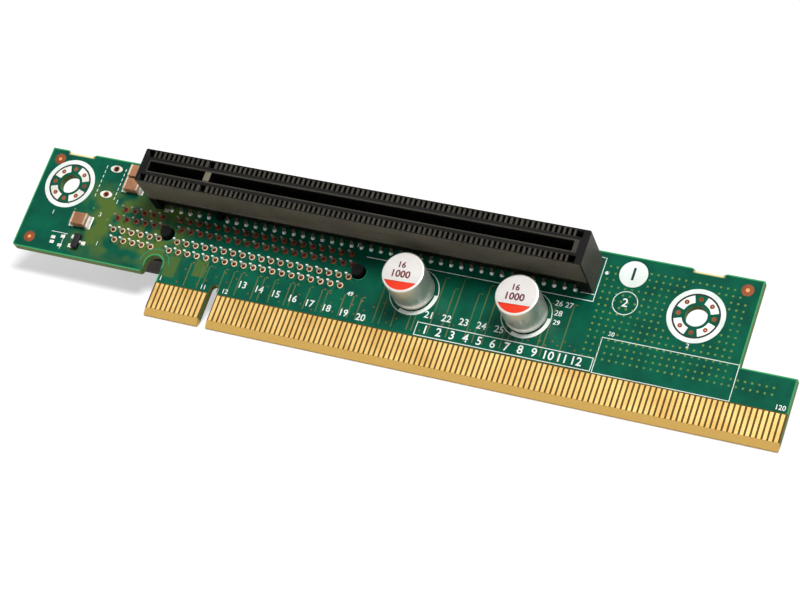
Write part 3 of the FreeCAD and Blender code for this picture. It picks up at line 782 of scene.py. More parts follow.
def join(pieces: Iterable[Piece], name: str) -> Piece:
    """Make one piece of several.

    Args:
        pieces: The pieces; the first one stays.
        name: Name of the result.

    Returns:
        The joined piece.
    """
    pieces = list(pieces)
    deselect()
    for piece in pieces:
        piece.select_set(True)
    bpy.context.view_layer.objects.active = pieces[0]
    if len(pieces) > 1:
        bpy.ops.object.join()
    pieces[0].name = pieces[0].data.name = name
    return pieces[0]


def scatter(model: Piece, places: Iterable[Sequence[float]], name: str) -> Piece:
    """Copies of a model, joined.

    Args:
        model: The piece to copy; it is removed.
        places: Where the copies go, in millimetres.
        name: Name of the result.

    Returns:
        The joined copies.
    """
    copies = []
    for place in places:
        twin = duplicate(model)
        twin.data.transform(Matrix.Translation([part * MM for part in place]))
        copies.append(twin)
    bpy.data.objects.remove(model, do_unlink=True)
    return join(copies, name)


def cone(name: str, base: float, top: float, low: float, high: float, sides: int = 12) -> Piece:
    """Cone about the Z axis, in millimetres.

    Args:
        name: Name of the piece.
        base: Radius at low.
        top: Radius at high.
        low: Height of the base.
        high: Height of the top.
        sides: Sides of the circle.

    Returns:
        The cone.
    """
    deselect()
    bpy.ops.mesh.primitive_cone_add(vertices=sides, radius1=base * MM, radius2=top * MM,
                                    depth=abs(high - low) * MM, location=(0, 0, (low + high) / 2 * MM))
    piece = bpy.context.object
    if high < low:
        piece.rotation_euler.x = math.pi
    settle(piece, name)
    pick(piece)
    bpy.ops.object.shade_smooth_by_angle(angle=math.radians(50))
    return piece


def copy_node(node: str, name: str) -> Piece:
    """Copy of a CAD node, with its doubles merged and its flat faces made whole.

    Args:
        node: The CAD node's name.
        name: The copy's name.

    Returns:
        The copy.
    """
    source = bpy.data.objects[node] if node in bpy.data.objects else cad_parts[node]
    twin = duplicate(source)
    twin.hide_render = False
    for key in list(twin.keys()):
        del twin[key]

    def clean() -> None:
        """Merge the loose triangles."""
        bpy.ops.mesh.remove_doubles(threshold=0.002 * MM)
        bpy.ops.mesh.dissolve_limited(angle_limit=math.radians(1))

    edit(twin, clean)
    twin.name = twin.data.name = name
    return twin


def add_piece(piece: Piece, slot: str, *nodes: str) -> None:
    """Attach a piece to the card's root, hide the CAD nodes that it replaces, and log its faces.

    Args:
        piece: The piece.
        slot: Not used.
        *nodes: CAD nodes that it replaces.
    """
    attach(piece, "root")
    if nodes:
        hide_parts(*nodes)
    log.info("%s: %d faces", piece.name, len(piece.data.polygons))


def low_corner(node: str) -> Vector:
    """Lowest corner of a CAD node in millimetres."""
    return Vector(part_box(node)[0]) / MM


def high_corner(node: str) -> Vector:
    """Highest corner of a CAD node in millimetres."""
    return Vector(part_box(node)[1]) / MM


def centre(node: str) -> Vector:
    """Middle of a CAD node's box in millimetres."""
    return (low_corner(node) + high_corner(node)) / 2


PRINT = 0.02
FACE = high_corner("pcb").z
BACK = low_corner("pcb").z
SKINS = (FACE, BACK - PRINT)
NOTCH = (-14.025, 10.175)
CARD_EDGE_NUMBERS = [("1", (-11.4, 7.6), 1.3), ("11", (-2.3, 7.6), 1.3), ("12", (2.3, 7.6), 1.3),
                     ("120", (108.6, 7.6), 1.3)]


# ---------------------------------------------------------------------------
# Sub-assemblies
# ---------------------------------------------------------------------------
@dataclass
class Socket:
    """A card socket: its housing with windows, and the joints of its tails.

    Attributes:
        side: "front" or "back".
        after_key: Contacts after the key.
        up: 1 if it stands on the component side, -1 if it hangs from the other.
        palette: The card's materials.
        pitch: Distance between contacts, in millimetres as all that follow.
        lead: Contacts before the key.
        start: X of the first contact from the housing's end.
        window_width: Size of a window along the socket.
        window_low: Near side of a window from the centre line.
        window_high: Far side of a window from the centre line.
        window_depth: Depth of a window.
        inner_row: Distance of the inner tails from the centre line.
        outer_row: Distance of the outer tails from the centre line.
        land: Inner and outer radius of a tail's ring.
        joint: Radius of a joint at the board and at its tip.
        bead: Radius of a bead at the board and at its tip.
    """
    side: str
    after_key: int
    up: int
    palette: Palette
    pitch: float = 1.0
    lead: int = 11
    start: float = 2.65
    window_width: float = 0.56
    window_low: float = 1.9
    window_high: float = 3.2
    window_depth: float = 2.6
    inner_row: float = 1.25
    outer_row: float = 3.25
    land: Spot = (0.3, 0.6)
    joint: Spot = (0.42, 0.28)
    bead: Spot = (0.42, 0.2)

    @property
    def node(self) -> str:
        """Name of the housing's CAD node."""
        return f"{self.side}_socket_housing"

    @property
    def first(self) -> float:
        """X of the first contact."""
        return low_corner(self.node).x + self.start

    @property
    def middle(self) -> float:
        """Y of the centre line."""
        return centre(self.node).y

    def runs(self) -> list[tuple[float, int]]:
        """First X and number of contacts before and after the key."""
        return [(self.first, self.lead), (self.first + (self.lead + 2) * self.pitch, self.after_key)]

    def places(self) -> list[tuple[float, float]]:
        """X and distance from the centre line of every tail.

        Returns:
            Pairs in millimetres.
        """
        found = []
        for index in range(self.lead + 2 + self.after_key):
            if self.lead <= index < self.lead + 2:
                continue
            row = self.outer_row if index % 2 else self.inner_row
            found += [(self.first + index * self.pitch, row), (self.first + index * self.pitch, -row)]
        return found

    def make_housing(self) -> None:
        """Copy the CAD housing and cut its windows into it."""
        housing = copy_node(self.node, f"{self.side}_socket_moulding")
        mouth = high_corner(self.node).z if self.up > 0 else low_corner(self.node).z
        cutters = []
        for x, number in self.runs():
            for sign in (1, -1):
                ends = sorted((self.middle + sign * self.window_low, self.middle + sign * self.window_high))
                levels = sorted((mouth - self.up * self.window_depth, mouth + self.up * 0.5))
                half = self.window_width / 2
                cutter = block("window_cutter", (x - half, ends[0], levels[0]),
                               (x + half, ends[1], levels[1]))
                apply(cutter, "ARRAY", count=number, use_relative_offset=False,
                      use_constant_offset=True, constant_offset_displace=(self.pitch * MM, 0, 0))
                cutters.append(cutter)
        cutter = join(cutters, f"{self.side}_window_cutters")
        apply(housing, "BOOLEAN", operation="DIFFERENCE", object=cutter, solver="EXACT")
        bpy.data.objects.remove(cutter, do_unlink=True)
        soften(housing, 0.07 * MM, 1)
        low, high = low_corner(self.node), high_corner(self.node)
        # The moulding's finish paints light and shade onto the black plastic.
        wear(housing, MouldingFinish(f"{self.side}_socket_plastic", self.middle * MM, abs(mouth) * MM,
                                     low.x * MM, high.x * MM,
                                     (self.first + (self.lead + 0.5) * self.pitch) * MM
                                     ).build(self.palette.patina))
        add_piece(housing, "socket_plastic", self.node)

    def make_joints(self) -> None:
        """Rings and joints round the tails on the far side of the board, with darker copper on the upper
        rings as painted shade, and white beads as painted highlights at the front socket's outer tails.
        """
        far = BACK if self.up > 0 else FACE
        away = -self.up
        ring = band("ring", (0, 0), *self.land, 0.0 if away > 0 else -PRINT, PRINT, sides=14)
        joint = cone("joint", *self.joint, 0.0, 0.12 if away > 0 else -0.35, 10)
        spots = [(x, self.middle + row, far) for x, row in self.places()]
        upper = [spot for spot in spots if spot[1] > self.middle]
        lower = [spot for spot in spots if spot[1] < self.middle]
        # Painted shade: the upper rings get darker bare copper and the lower rings cream tin, as the front
        # socket's shadow falls on the back socket's upper rows.
        for model, group, label, paint in ((duplicate(ring), upper, "upper", Paint.COPPER),
                                           (ring, lower, "lower", Paint.CREAM)):
            rings = scatter(model, group, f"{self.side}_socket_lands_{label}")
            self.palette.add(rings, paint, "gold_plate")
        if self.up > 0:
            # Painted highlight: the beads get the white print finish instead of tin, for the glint of the
            # tails' feet.
            bead = cone("bead", *self.bead, 0.0, 0.42, 12)
            feet = [(x, self.middle + row, FACE) for x, row in self.places() if abs(row) == self.outer_row]
            self.palette.add(scatter(bead, feet, "front_socket_bead_highlights"), Paint.SILK, "lead_metal")
        joints = scatter(joint, spots, f"{self.side}_socket_joints")
        self.palette.add(joints, Paint.DARK_COPPER if self.up < 0 else Paint.TIN, "lead_metal")

    def dress_contacts(self) -> None:
        """Give the CAD contacts their darkened gold and tin, with a darker tin as painted shade on the back
        socket's upper rows.
        """
        for kind in ("inner", "outer"):
            for row in "ab":
                node = f"{self.side}_contacts_{kind}_{row}"
                # Painted shade: the back socket's upper rows take the darker tin.
                in_shade = self.side == "back" and centre(node).y > self.middle
                wear(bpy.data.objects[node], self.palette.contacts["in_shade" if in_shade else self.side])

    def build(self) -> None:
        """Make all of the socket."""
        self.make_housing()
        self.make_joints()
        self.dress_contacts()


@dataclass
class Capacitor:
    """A radial can capacitor with a printed top.

    Attributes:
        number: 1 or 2.
        palette: The card's materials.
        print_radius: Radius of the printed top, in millimetres as all that follow.
        chord: Distance of the chord between white and red from the middle.
        tilt: Turn of the print, in degrees.
        cuts: Heights above the can's rim at which its wall gets a ring of edges.
        crimp: Numbers of the cuts that are drawn in, each with its share of the radius.
        half: Inner and outer radius of the white half round the can.
        line: Inner and outer radius of the printed circle.
    """
    number: int
    palette: Palette
    print_radius: float = 3.62
    chord: float = -1.95
    tilt: float = 2.5
    cuts: tuple[float, ...] = (0.28, 0.5, 0.75, 1.0, 1.25, 1.55, 2.0)
    crimp: tuple[tuple[int, float], ...] = ((1, 0.985), (2, 0.93), (3, 0.905), (4, 0.93), (5, 0.985))
    half: Spot = (4.02, 4.75)
    line: Spot = (4.58, 4.72)

    def make_can(self) -> None:
        """Lathe the can: rim, crimp groove, straight wall and rounded top."""
        node = f"capacitor_{self.number}_can"
        low, high = low_corner(node), high_corner(node)
        middle = centre(node)
        radius = (high.x - low.x) / 2
        deselect()
        bpy.ops.mesh.primitive_cylinder_add(vertices=96, radius=radius * MM, depth=(high.z - low.z) * MM,
                                            location=middle * MM)
        can = settle(bpy.context.object, f"capacitor_{self.number}_drawn_can")

        def slice_at(level: float) -> Callable[[], None]:
            """Work that cuts one ring of edges round the can."""
            return lambda: bpy.ops.mesh.bisect(plane_co=(0, 0, level * MM), plane_no=(0, 0, 1))

        for step in self.cuts:
            edit(can, slice_at(low.z + step))
        for vertex in can.data.vertices:
            for index, factor in self.crimp:
                if abs(vertex.co.z / MM - low.z - self.cuts[index]) < 0.01:
                    vertex.co.x = middle.x * MM + (vertex.co.x - middle.x * MM) * factor
                    vertex.co.y = middle.y * MM + (vertex.co.y - middle.y * MM) * factor
        soften(can, 0.3 * MM, 4, 50)
        self.palette.add(can, Paint.SILVER, "can_metal", node)

    def make_top(self) -> None:
        """White printed disc with a red segment and plain numbers."""
        node = f"capacitor_{self.number}_can"
        middle, top = centre(node), high_corner(node).z
        disc = cone("disc", self.print_radius, self.print_radius - 0.06, 0.0, PRINT, 72)
        red = duplicate(disc)
        slope = Vector((-math.sin(math.radians(self.tilt)), math.cos(math.radians(self.tilt)), 0))

        def keep(sign: int) -> Callable[[], None]:
            """Cut away what lies on one side of the chord.

            Args:
                sign: 1 or -1 for the side that stays.

            Returns:
                The work to run in edit mode.
            """
            def work() -> None:
                """Bisect and fill."""
                bpy.ops.mesh.bisect(plane_co=slope * (self.chord * MM), plane_no=slope * sign,
                                    use_fill=True, clear_outer=True)
            return work

        edit(disc, keep(-1))
        edit(red, keep(1))
        place = Matrix.Translation(Vector((middle.x, middle.y, top)) * MM)
        for piece, label, paint in ((disc, "white", Paint.WHITE_TOP), (red, "red", Paint.RED_TOP)):
            piece.data.transform(place)
            piece.name = piece.data.name = f"capacitor_{self.number}_top_{label}"
            self.palette.add(piece, paint, "can_metal")
        level = top + 2 * PRINT
        upper = text_mark("upper", "16", (middle.x - 0.6, middle.y + 1.25), 1.6, level, self.tilt, 0.03)
        lower = text_mark("lower", "1000", (middle.x - 0.3, middle.y - 0.55), 1.9, level, self.tilt, 0.03)
        numbers = join([upper, lower], f"capacitor_{self.number}_numbers")
        self.palette.add(numbers, Paint.INK, "can_metal")

    def make_place(self) -> None:
        """Printed circle round the can and its white half, and joints under the leads."""
        middle = centre(f"capacitor_{self.number}_can")
        spot = (middle.x, middle.y)
        marks = [band("half", spot, *self.half, FACE, PRINT, -112.0, 112.0),
                 band("line", spot, *self.line, FACE, PRINT, 0.0, 248.0)]
        self.palette.add(join(marks, f"capacitor_{self.number}_outline"), Paint.SILK, "solder_mask")
        joint = cone("joint", 0.85, 0.34, 0.0, -0.8, 20)
        low = low_corner(f"capacitor_{self.number}_leads")
        high = high_corner(f"capacitor_{self.number}_leads")
        spots = [(middle.x, low.y + 0.3, BACK), (middle.x, high.y - 0.3, BACK)]
        joints = scatter(joint, spots, f"capacitor_{self.number}_joints")
        self.palette.add(joints, Paint.TIN, "lead_metal")

    def build(self) -> None:
        """Make all of the capacitor."""
        self.make_can()
        self.make_top()
        self.make_place()
        for part, paint in (("bung", Paint.RUBBER), ("leads", Paint.TIN)):
            self.palette.dress(bpy.data.objects[f"capacitor_{self.number}_{part}"], paint)


def text_mark(name: str, words: str, middle: Spot, height: float, level: float,
              turn: float = 0.0, bold: float = 0.0) -> Piece:
    """Plain numbers as a thin flat mesh.

    Args:
        name: Name of the piece.
        words: The numbers.
        middle: Their middle, in millimetres.
        height: Height of a line, in millimetres.
        level: Height of their upper side.
        turn: Turn about Z in degrees.
        bold: How far the strokes are widened, as a share of the height.

    Returns:
        The piece.
    """
    deselect()
    bpy.ops.object.text_add(location=(middle[0] * MM, middle[1] * MM, level * MM),
                            rotation=(0, 0, math.radians(turn)))
    piece = bpy.context.object
    piece.data.body = words
    piece.data.size = height * MM
    piece.data.align_x = "CENTER"
    piece.data.align_y = "CENTER"
    piece.data.resolution_u = 3
    piece.data.offset = bold * height * MM
    pick(piece)
    bpy.ops.object.convert(target="MESH")
    return settle(bpy.context.object, name)


@dataclass
class SmallParts:
    """Chip capacitors and the three-lead part, with their lands.

    Attributes:
        palette: The card's materials.
        land: How far a chip's land goes beyond its end, in millimetres.
    """
    palette: Palette
    land: float = 0.75

    def round_node(self, node: str, name: str, width: float, segments: int, paint: Paint, slot: str) -> None:
        """Put a softened copy in a CAD node's place.

        Args:
            node: The CAD node's name.
            name: Name of the piece.
            width: Bevel width in millimetres.
            segments: Faces across a bevel.
            paint: Its finish.
            slot: Passed on to the palette.
        """
        piece = copy_node(node, name)
        soften(piece, width * MM, segments)
        self.palette.add(piece, paint, slot, node)

    def make_chip(self, number: int) -> None:
        """Round a chip capacitor's body and end caps, and solder them down.

        Args:
            number: 1 to 3.
        """
        self.round_node(f"chip_{number}_ceramic", f"chip_{number}_body", 0.06, 2,
                        Paint.CERAMIC, "chip_ceramic")
        self.round_node(f"chip_{number}_end_caps", f"chip_{number}_terminations", 0.12, 3,
                        Paint.TERMINAL, "end_cap_metal")
        low, high = low_corner(f"chip_{number}_end_caps"), high_corner(f"chip_{number}_end_caps")
        lands = []
        for x, sign in ((low.x, -1), (high.x, 1)):
            ends = sorted((x - sign * 0.3, x + sign * self.land))
            lands.append(block("land", (ends[0], low.y - 0.1, FACE),
                               (ends[1], high.y + 0.1, FACE + 0.06), 0.03))
            wedge = block("fillet", (min(x, x + sign * 0.5), low.y + 0.05, FACE),
                          (max(x, x + sign * 0.5), high.y - 0.05, FACE + 0.75))
            for vertex in wedge.data.vertices:
                if vertex.co.z > (FACE + 0.4) * MM and sign * (vertex.co.x / MM - x) > 0.25:
                    vertex.co.z = (FACE + 0.12) * MM
            soften(wedge, 0.05 * MM, 2)
            lands.append(wedge)
        self.palette.add(join(lands, f"chip_{number}_lands"), Paint.TIN, "lead_metal")

    def make_three_lead(self) -> None:
        """Round the moulded part and its leads, and give them lands."""
        self.round_node("sot_body", "three_lead_body", 0.1, 3, Paint.SOT, "sot_plastic")
        self.round_node("sot_leads", "three_lead_legs", 0.03, 2, Paint.TIN, "lead_metal")
        middle, low, high = centre("sot_leads"), low_corner("sot_leads"), high_corner("sot_leads")
        lands = []
        for x, y in ((high.x, middle.y), (low.x, low.y + 0.2), (low.x, high.y - 0.2)):
            lands.append(block("land", (x - 0.5, y - 0.4, FACE), (x + 0.5, y + 0.4, FACE + 0.05), 0.02))
        self.palette.add(join(lands, "three_lead_lands"), Paint.TIN, "lead_metal")

    def build(self) -> None:
        """Make all small parts."""
        for number in (1, 2, 3):
            self.make_chip(number)
        self.make_three_lead()


@dataclass
class BoardDetail:
    """Everything printed, plated or etched on the board.

    Attributes:
        palette: The card's materials.
        hole_left: Centre of the left mounting hole, in millimetres as all that follow.
        hole_right: Centre of the right mounting hole.
        ring: Inner and outer radius of the white ring round a hole.
        pad: Inner and outer radius of the ground pads.
        pad_sweep: Angle that a pad covers, in degrees.
        via_circle: Radius of the circle of vias in the pads.
        grid: Pitch of the grid of vias.
        disc: Centre of the white disc.
        pins: Plated holes of the empty two-pin place.
        fiducials: Centres of the fiducials.
        trace: Width of a trace.
    """
    palette: Palette
    hole_left: Spot = (-38.05, 23.1)
    hole_right: Spot = (89.9, 21.15)
    ring: Spot = (4.33, 5.22)
    pad: Spot = (2.55, 3.98)
    pad_sweep: float = 54.0
    via_circle: float = 3.25
    grid: float = 1.27
    disc: Spot = (76.8, 26.7)
    pins: tuple[Spot, ...] = ((-29.55, 22.35), (-29.55, 28.0))
    fiducials: tuple[Spot, ...] = ((-42.3, 27.9), (-41.8, 10.6), (97.35, 27.8))
    trace: float = 0.22

    def finish(self, marks: Sequence[Piece], name: str, paint: Paint, slot: str) -> None:
        """Join marks into one piece, dress it and attach it to the card."""
        self.palette.add(join(marks, name), paint, slot)

    def make_hole_rings(self) -> None:
        """White ring, tinned ground pads and copper vias round each mounting hole, on both sides."""
        around = [math.radians(45 * turn) for turn in range(8)]
        for label, spot in (("left", self.hole_left), ("right", self.hole_right)):
            self.finish([band("ring", spot, *self.ring, level, PRINT, sides=96) for level in SKINS],
                        f"hole_{label}_ring", Paint.SILK, "solder_mask")
            pads = [band("pad", spot, *self.pad, level, PRINT, 45 + 90 * turn - self.pad_sweep / 2,
                         self.pad_sweep, 120) for turn in range(4) for level in SKINS]
            self.finish(pads, f"hole_{label}_pads", Paint.TIN, "lead_metal")
            dots = [(spot[0] + self.via_circle * math.cos(a), spot[1] + self.via_circle * math.sin(a), level)
                    for a in around for level in (FACE + PRINT, BACK - 2 * PRINT)]
            dot = band("dot", (0, 0), 0.08, 0.45, 0.0, PRINT, sides=16)
            self.palette.add(scatter(dot, dots, f"hole_{label}_vias"), Paint.COPPER, "gold_plate")
            self.finish([band("dark", spot, 4.05, self.ring[0], FACE, PRINT / 2, sides=96)],
                        f"hole_{label}_gap", Paint.SOT, "solder_mask")

    def make_print(self) -> None:
        """White print: outlines, discs, boxes and plain numbers."""
        line = 0.14
        top = FACE + PRINT

        def bar(x0: float, x1: float, y0: float, y1: float) -> Piece:
            """Printed bar between two corners."""
            return block("bar", (x0, y0, FACE), (x1, y1, top))

        marks = [
            frame_mark("box", (74.85, 6.8), (99.85, 13.82), FACE + PRINT / 2),
            frame_mark("box", (40.9, 6.95), (74.6, 9.6), FACE + PRINT / 2),
            bar(71.1, 71.1 + line, 20.0, 28.9), bar(27.0, 71.1, 20.0, 20.0 + line),
            bar(68.5, 71.0, 21.35, 21.35 + line), bar(69.9, 70.9, 28.76, 28.9),
            band("ring", (76.9, 20.95), 2.18, 2.32, FACE, PRINT),
            cone_at("disc", 2.6, self.disc), cone_at("dot", 0.35, (72.0, 26.0)),
        ]
        for index in range(7):
            y = 21.5 + index * 1.05
            marks += [bar(-31.78, -31.64, y, y + 0.6), bar(-27.56, -27.42, y, y + 0.6)]
        marks += [bar(-37.6, -34.0, 12.6, 12.7), bar(-34.6, -34.5, 9.3, 12.6)]
        numbers = CARD_EDGE_NUMBERS + [
            ("1", (-26.6, 21.2), 1.2), ("1", (-27.2, 11.9), 1.2), ("1", (-39.0, 16.55), 1.2),
            ("2", (90.0, 15.3), 1.2), ("3", (-29.0, 17.9), 1.2), ("1", (24.6, 22.0), 1.2),
            ("49", (26.5, 12.2), 1.2), ("50", (-15.7, 21.4), 1.0)]
        numbers += [(str(index), (40.2 + index * 2.62, 8.25), 2.3) for index in range(1, 13)]
        numbers += [(str(index), (5.2 + (index - 13) * 3.55, 9.6 - (index - 13) * 0.22), 1.9)
                    for index in range(13, 21)]
        numbers += [(str(index), (42.6 + (index - 21) * 3.4, 11.2), 1.9) for index in range(21, 26)]
        numbers += [("26 27", (66.3, 18.4), 1.5), ("28", (65.8, 16.5), 1.5), ("29", (66.0, 14.7), 1.3),
                    ("30", (76.3, 14.6), 1.2), ("2", (76.9, 20.95), 2.3)]
        marks += [text_mark("number", words, spot, size, top, bold=0.012) for words, spot, size in numbers]
        self.finish(marks, "board_print", Paint.SILK, "solder_mask")
        self.finish([text_mark("glyph", "1", (76.8, 26.6), 3.4, top + PRINT, bold=0.02)], "disc_glyph",
                    Paint.GLYPH, "solder_mask")
        lines = [band("notch", NOTCH, 3.0, 3.2, FACE, PRINT / 2, 5.0, 170.0)]
        lines += [band("peg", (x, 16.71), 1.44, 1.6, FACE, PRINT / 2, -130.0, 160.0, 40)
                  for x in (-13.5, 26.65)]
        self.finish(lines, "notch_line", Paint.PALE_MASK, "solder_mask")

    def make_lands(self) -> None:
        """Tinned lands of the empty places, and the fiducials."""
        ovals = [band("oval", spot, 0.45, 0.75, FACE, PRINT, sides=36, stretch=1.75) for spot in self.pins]
        pads = [block("pad", (x - 0.45, y - 0.32, FACE), (x + 0.45, y + 0.32, FACE + 0.04), 0.015)
                for x, y in ((-36.8, 11.45), (-36.7, 10.45), (-34.8, 11.95), (-34.8, 10.05))]
        self.finish(ovals + pads, "empty_lands", Paint.TIN, "lead_metal")
        rings = [band("ring", spot, 0.45, 0.6, FACE + PRINT, PRINT, sides=28) for spot in self.pins]
        rings += [band("barrel", spot, 0.36, 0.449, BACK, FACE - BACK, sides=28) for spot in self.pins]
        rings += [band("target", spot, 0.36, 1.15, FACE, PRINT, sides=36) for spot in self.fiducials]
        self.finish(rings, "fiducial_rings", Paint.COPPER, "gold_plate")
        self.finish([cone_at("target", 0.36, spot) for spot in self.fiducials], "fiducials",
                    Paint.BRIGHT_COPPER, "gold_plate")

    def make_vias(self) -> None:
        """Grid of tented vias at the right of the board."""
        places = []
        for row in range(15):
            for column in range(28):
                x, y = 72.3 + column * self.grid, 9.65 + row * self.grid
                if x > (107.0 if row < 2 else 98.6) or (y > 20 and x < 71.9):
                    continue
                near = [math.dist((x, y), spot) < reach for spot, reach in
                        ((self.hole_right, 5.7), (self.disc, 3.0), (self.fiducials[2], 1.8))]
                if not any(near):
                    places.append((x, y, FACE))
        more = [(-36.6 + 1.9 * index, 19.0 - 0.9 * (index % 3), FACE) for index in range(6)]
        dot = cone("dot", 0.27, 0.14, -0.01, 0.02, 10)
        under = cone("dot", 0.14, 0.27, -0.02, 0.01, 10)
        self.finish([scatter(dot, places + more, "tented_vias"),
                     scatter(under, [(x, y, BACK) for x, y, _ in places], "tented_vias")],
                    "tented_vias", Paint.TENTED_VIA, "solder_mask")
        loose = [(-8.0 + 0.83 * index, 7.6 + 4.6 * spread(index), FACE) for index in range(64)]
        loose += [(45.5 + 1.1 * index, 9.9 + 1.6 * spread(index), FACE) for index in range(24)]
        dot = cone("dot", 0.2, 0.12, -0.01, 0.015, 8)
        self.palette.add(scatter(dot, loose, "brown_vias"), Paint.BROWN_VIA, "solder_mask")

    def make_traces(self) -> None:
        """Copper traces that show through the mask, from the card contacts upwards."""
        strips = []
        height = 0.008
        covered = high_corner("back_socket_housing").x + 1.0
        for index in range(34):
            x = -6.5 + index * 2.25 + 0.7 * math.sin(index * 2.3)
            free = 20.0 - 2.6 * abs(math.sin(index * 1.7))
            low = 7.0 + 0.8 * abs(math.sin(index * 3.1))
            for under, limit in ((FACE, 29.0), (BACK - height, max(29.0, covered))):
                top = 12.2 if x < limit else free
                strips.append(block("trace", (x, low, under), (x + self.trace, top, under + height)))
                strips.append(block("trace", (x, top - self.trace, under), (x + 0.8, top, under + height)))
        self.finish(strips, "masked_traces", Paint.TRACE, "solder_mask")

    def make_back_print(self) -> None:
        """Socket outline, a box and plain numbers on the back."""
        low, high = low_corner("back_socket_housing"), high_corner("back_socket_housing")
        level = BACK - PRINT / 2
        marks = [frame_mark("box", (low.x - 0.6, low.y - 0.6), (high.x + 0.6, high.y + 0.6), level),
                 frame_mark("box", (56.0, 8.6), (70.0, 12.4), level)]
        numbers = CARD_EDGE_NUMBERS + [
            ("1", (-38.0, 16.5), 1.3), ("2", (90.0, 14.6), 1.3), ("3", (44.5, 12.5), 1.5),
            ("4", (52.0, 12.5), 1.5), ("1 2 3 4", (63.0, 10.5), 1.9)]
        for words, spot, size in numbers:
            mark = text_mark("number", words, (0, 0), size, 0.0, bold=0.012)
            mark.data.transform(Matrix.Translation(Vector((*spot, BACK - PRINT)) * MM)
                                @ Matrix.Rotation(math.pi, 4, "Y"))
            marks.append(mark)
        self.finish(marks, "back_print", Paint.SILK, "solder_mask")

    def build(self) -> None:
        """Make all marks, and dress the board and its contacts."""
        wear(bpy.data.objects["pcb"], self.palette.board)
        for side in ("front", "back"):
            self.palette.dress(bpy.data.objects[f"edge_fingers_{side}"], Paint.GOLD)
        self.make_hole_rings()
        self.make_print()
        self.make_lands()
        self.make_vias()
        self.make_traces()
        self.make_back_print()


def spread(index: int) -> float:
    """Number from 0 to 1 that jumps evenly about as the index goes up."""
    return (index * 0.618) % 1.0


def cone_at(name: str, radius: float, spot: Spot) -> Piece:
    """Flat printed disc on the board's face.

    Args:
        name: Name of the piece.
        radius: Radius in millimetres.
        spot: Its middle in millimetres.

    Returns:
        The disc.
    """
    piece = cone(name, radius, radius - 0.01, 0.0, PRINT, 48)
    piece.data.transform(Matrix.Translation(Vector((spot[0], spot[1], FACE)) * MM))
    return piece


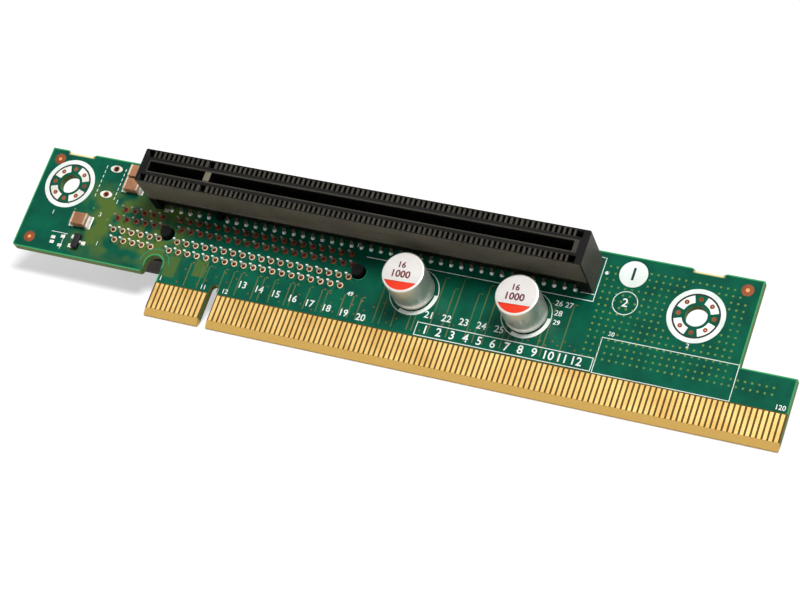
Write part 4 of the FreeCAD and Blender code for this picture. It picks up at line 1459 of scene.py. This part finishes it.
# ---------------------------------------------------------------------------
# Studio
# ---------------------------------------------------------------------------
@dataclass
class Studio:
    """Floor, lamp, surroundings and camera. The card leans on its card edge and its back socket.

    Attributes:
        eye: Place of the camera, in millimetres.
        aim: Point that it looks at.
        up: Direction that is upright in the picture.
        lens: Focal length.
        reach: Size of the floor.
        edge: Height of the card edge's lower corner below the board's mid-plane.
        paper: Share of plain white in what the camera and mirrors see of the floor.
        sky: Strength of the surroundings as a light.
        key_power: Strength of the lamp.
        key_spread: Angle that the lamp covers, in radians.
        key_from: Direction that its light comes from.
    """
    eye: tuple[float, float, float] = (187.98, -129.66, 354.26)
    aim: tuple[float, float, float] = (36.22, 13.0, 0.785)
    up: tuple[float, float, float] = (-0.186, 0.881, 0.435)
    lens: float = 101.8
    reach: float = 1600.0
    edge: float = 0.285
    paper: float = 0.53
    sky: float = 0.27
    key_power: float = 3.34
    key_spread: float = 0.41
    key_from: tuple[float, float, float] = (0.308, 0.353, 0.883)

    def seen(self, graph: Graph) -> object:
        """Socket that is 1 for rays from the camera, from mirrors and through glass.

        Args:
            graph: Graph of the material or world that asks.

        Returns:
            The socket.
        """
        ray = graph.add("ShaderNodeLightPath")
        mirrored = graph.maths("MAXIMUM", ray.outputs["Is Glossy Ray"], ray.outputs["Is Transmission Ray"])
        return graph.maths("MAXIMUM", ray.outputs["Is Camera Ray"], mirrored)

    def make_floor(self) -> None:
        """Pale floor under the card edge and the back socket's lower side, clear from below."""
        foot = Vector((0.0, -self.edge))
        heel = Vector((low_corner("back_socket_housing").y, low_corner("back_socket_housing").z))
        slope = math.atan2(heel.y - foot.y, heel.x - foot.x)
        deselect()
        bpy.ops.mesh.primitive_plane_add(size=self.reach * MM)
        floor = bpy.context.object
        floor.rotation_euler.x = slope
        normal = Vector((0.0, -math.sin(slope), math.cos(slope)))
        floor.location = Vector((35.0, foot.x, foot.y)) * MM - normal * 0.02 * MM
        settle(floor, "floor")
        material, graph, surface, place = new_material("floor_paper")
        stain = graph.noise(place, 12.0)
        colour = graph.blend(stain, shade(250, 250, 249), shade(254, 254, 254))
        graph.tree.links.new(colour, surface.inputs["Base Color"])
        surface.inputs["Roughness"].default_value = 0.9
        surface.inputs["Specular IOR Level"].default_value = 0.0
        white = graph.add("ShaderNodeEmission", {"Color": (1, 1, 1, 1), "Strength": 1.0})
        share = graph.maths("MULTIPLY", self.seen(graph), self.paper)
        mix = graph.add("ShaderNodeMixShader", {0: share, 1: surface.outputs[0], 2: white.outputs[0]})
        below = graph.add("ShaderNodeNewGeometry").outputs["Backfacing"]
        clear = graph.add("ShaderNodeBsdfTransparent")
        sides = graph.add("ShaderNodeMixShader", {0: below, 1: mix.outputs[0], 2: clear.outputs[0]})
        sheet = next(node for node in graph.tree.nodes if node.type == "OUTPUT_MATERIAL")
        graph.tree.links.new(sides.outputs[0], sheet.inputs["Surface"])
        floor.data.materials.append(material)

    def make_light(self) -> None:
        """Even white surroundings and one broad, even lamp above and behind the card."""
        world = bpy.data.worlds.new("studio")
        bpy.context.scene.world = world
        world.use_nodes = True
        graph = Graph(world.node_tree)
        graph.tree.nodes.clear()
        strength = graph.add("ShaderNodeMapRange", {"Value": self.seen(graph), "To Min": self.sky,
                                                    "To Max": 1.0})
        back = graph.add("ShaderNodeBackground", {"Color": (1, 1, 1, 1), "Strength": strength.outputs[0]})
        graph.add("ShaderNodeOutputWorld", {"Surface": back.outputs[0]})
        lamp = bpy.data.lights.new("key", "SUN")
        lamp.energy = self.key_power
        lamp.angle = self.key_spread
        key = bpy.data.objects.new("key", lamp)
        bpy.context.collection.objects.link(key)
        key.location = Vector(self.key_from)
        key.rotation_euler = (-Vector(self.key_from)).to_track_quat("-Z", "Y").to_euler()

    def make_camera(self) -> None:
        """Camera at the card's lower right, looking down at its face."""
        camera = bpy.data.objects.new("camera", bpy.data.cameras.new("camera"))
        bpy.context.collection.objects.link(camera)
        camera.data.lens = self.lens
        camera.data.sensor_width = 36.0
        camera.data.clip_start = 0.01
        eye, aim = Vector(self.eye) * MM, Vector(self.aim) * MM
        forward = (aim - eye).normalized()
        right = forward.cross(Vector(self.up)).normalized()
        rise = right.cross(forward)
        turn = Matrix((right, rise, -forward)).transposed()
        camera.location = eye
        camera.rotation_euler = turn.to_euler()
        bpy.context.scene.camera = camera

    def build(self) -> None:
        """Set up the whole studio."""
        self.make_floor()
        self.make_light()
        self.make_camera()
        bpy.context.scene.view_settings.view_transform = "Standard"


def main() -> None:
    """Build the card's pieces, then the studio, and log each step."""
    logging.basicConfig(level=logging.INFO, format="%(name)s %(message)s")
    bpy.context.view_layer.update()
    palette = Palette()
    assemblies = [
        BoardDetail(palette),
        Socket("front", 71, 1, palette),
        Socket("back", 38, -1, palette),
        Capacitor(1, palette),
        Capacitor(2, palette),
        SmallParts(palette),
        Studio(),
    ]
    for assembly in assemblies:
        assembly.build()
        log.info("%s is done", type(assembly).__name__)
    deselect()


if __name__ == "__main__":
    main()
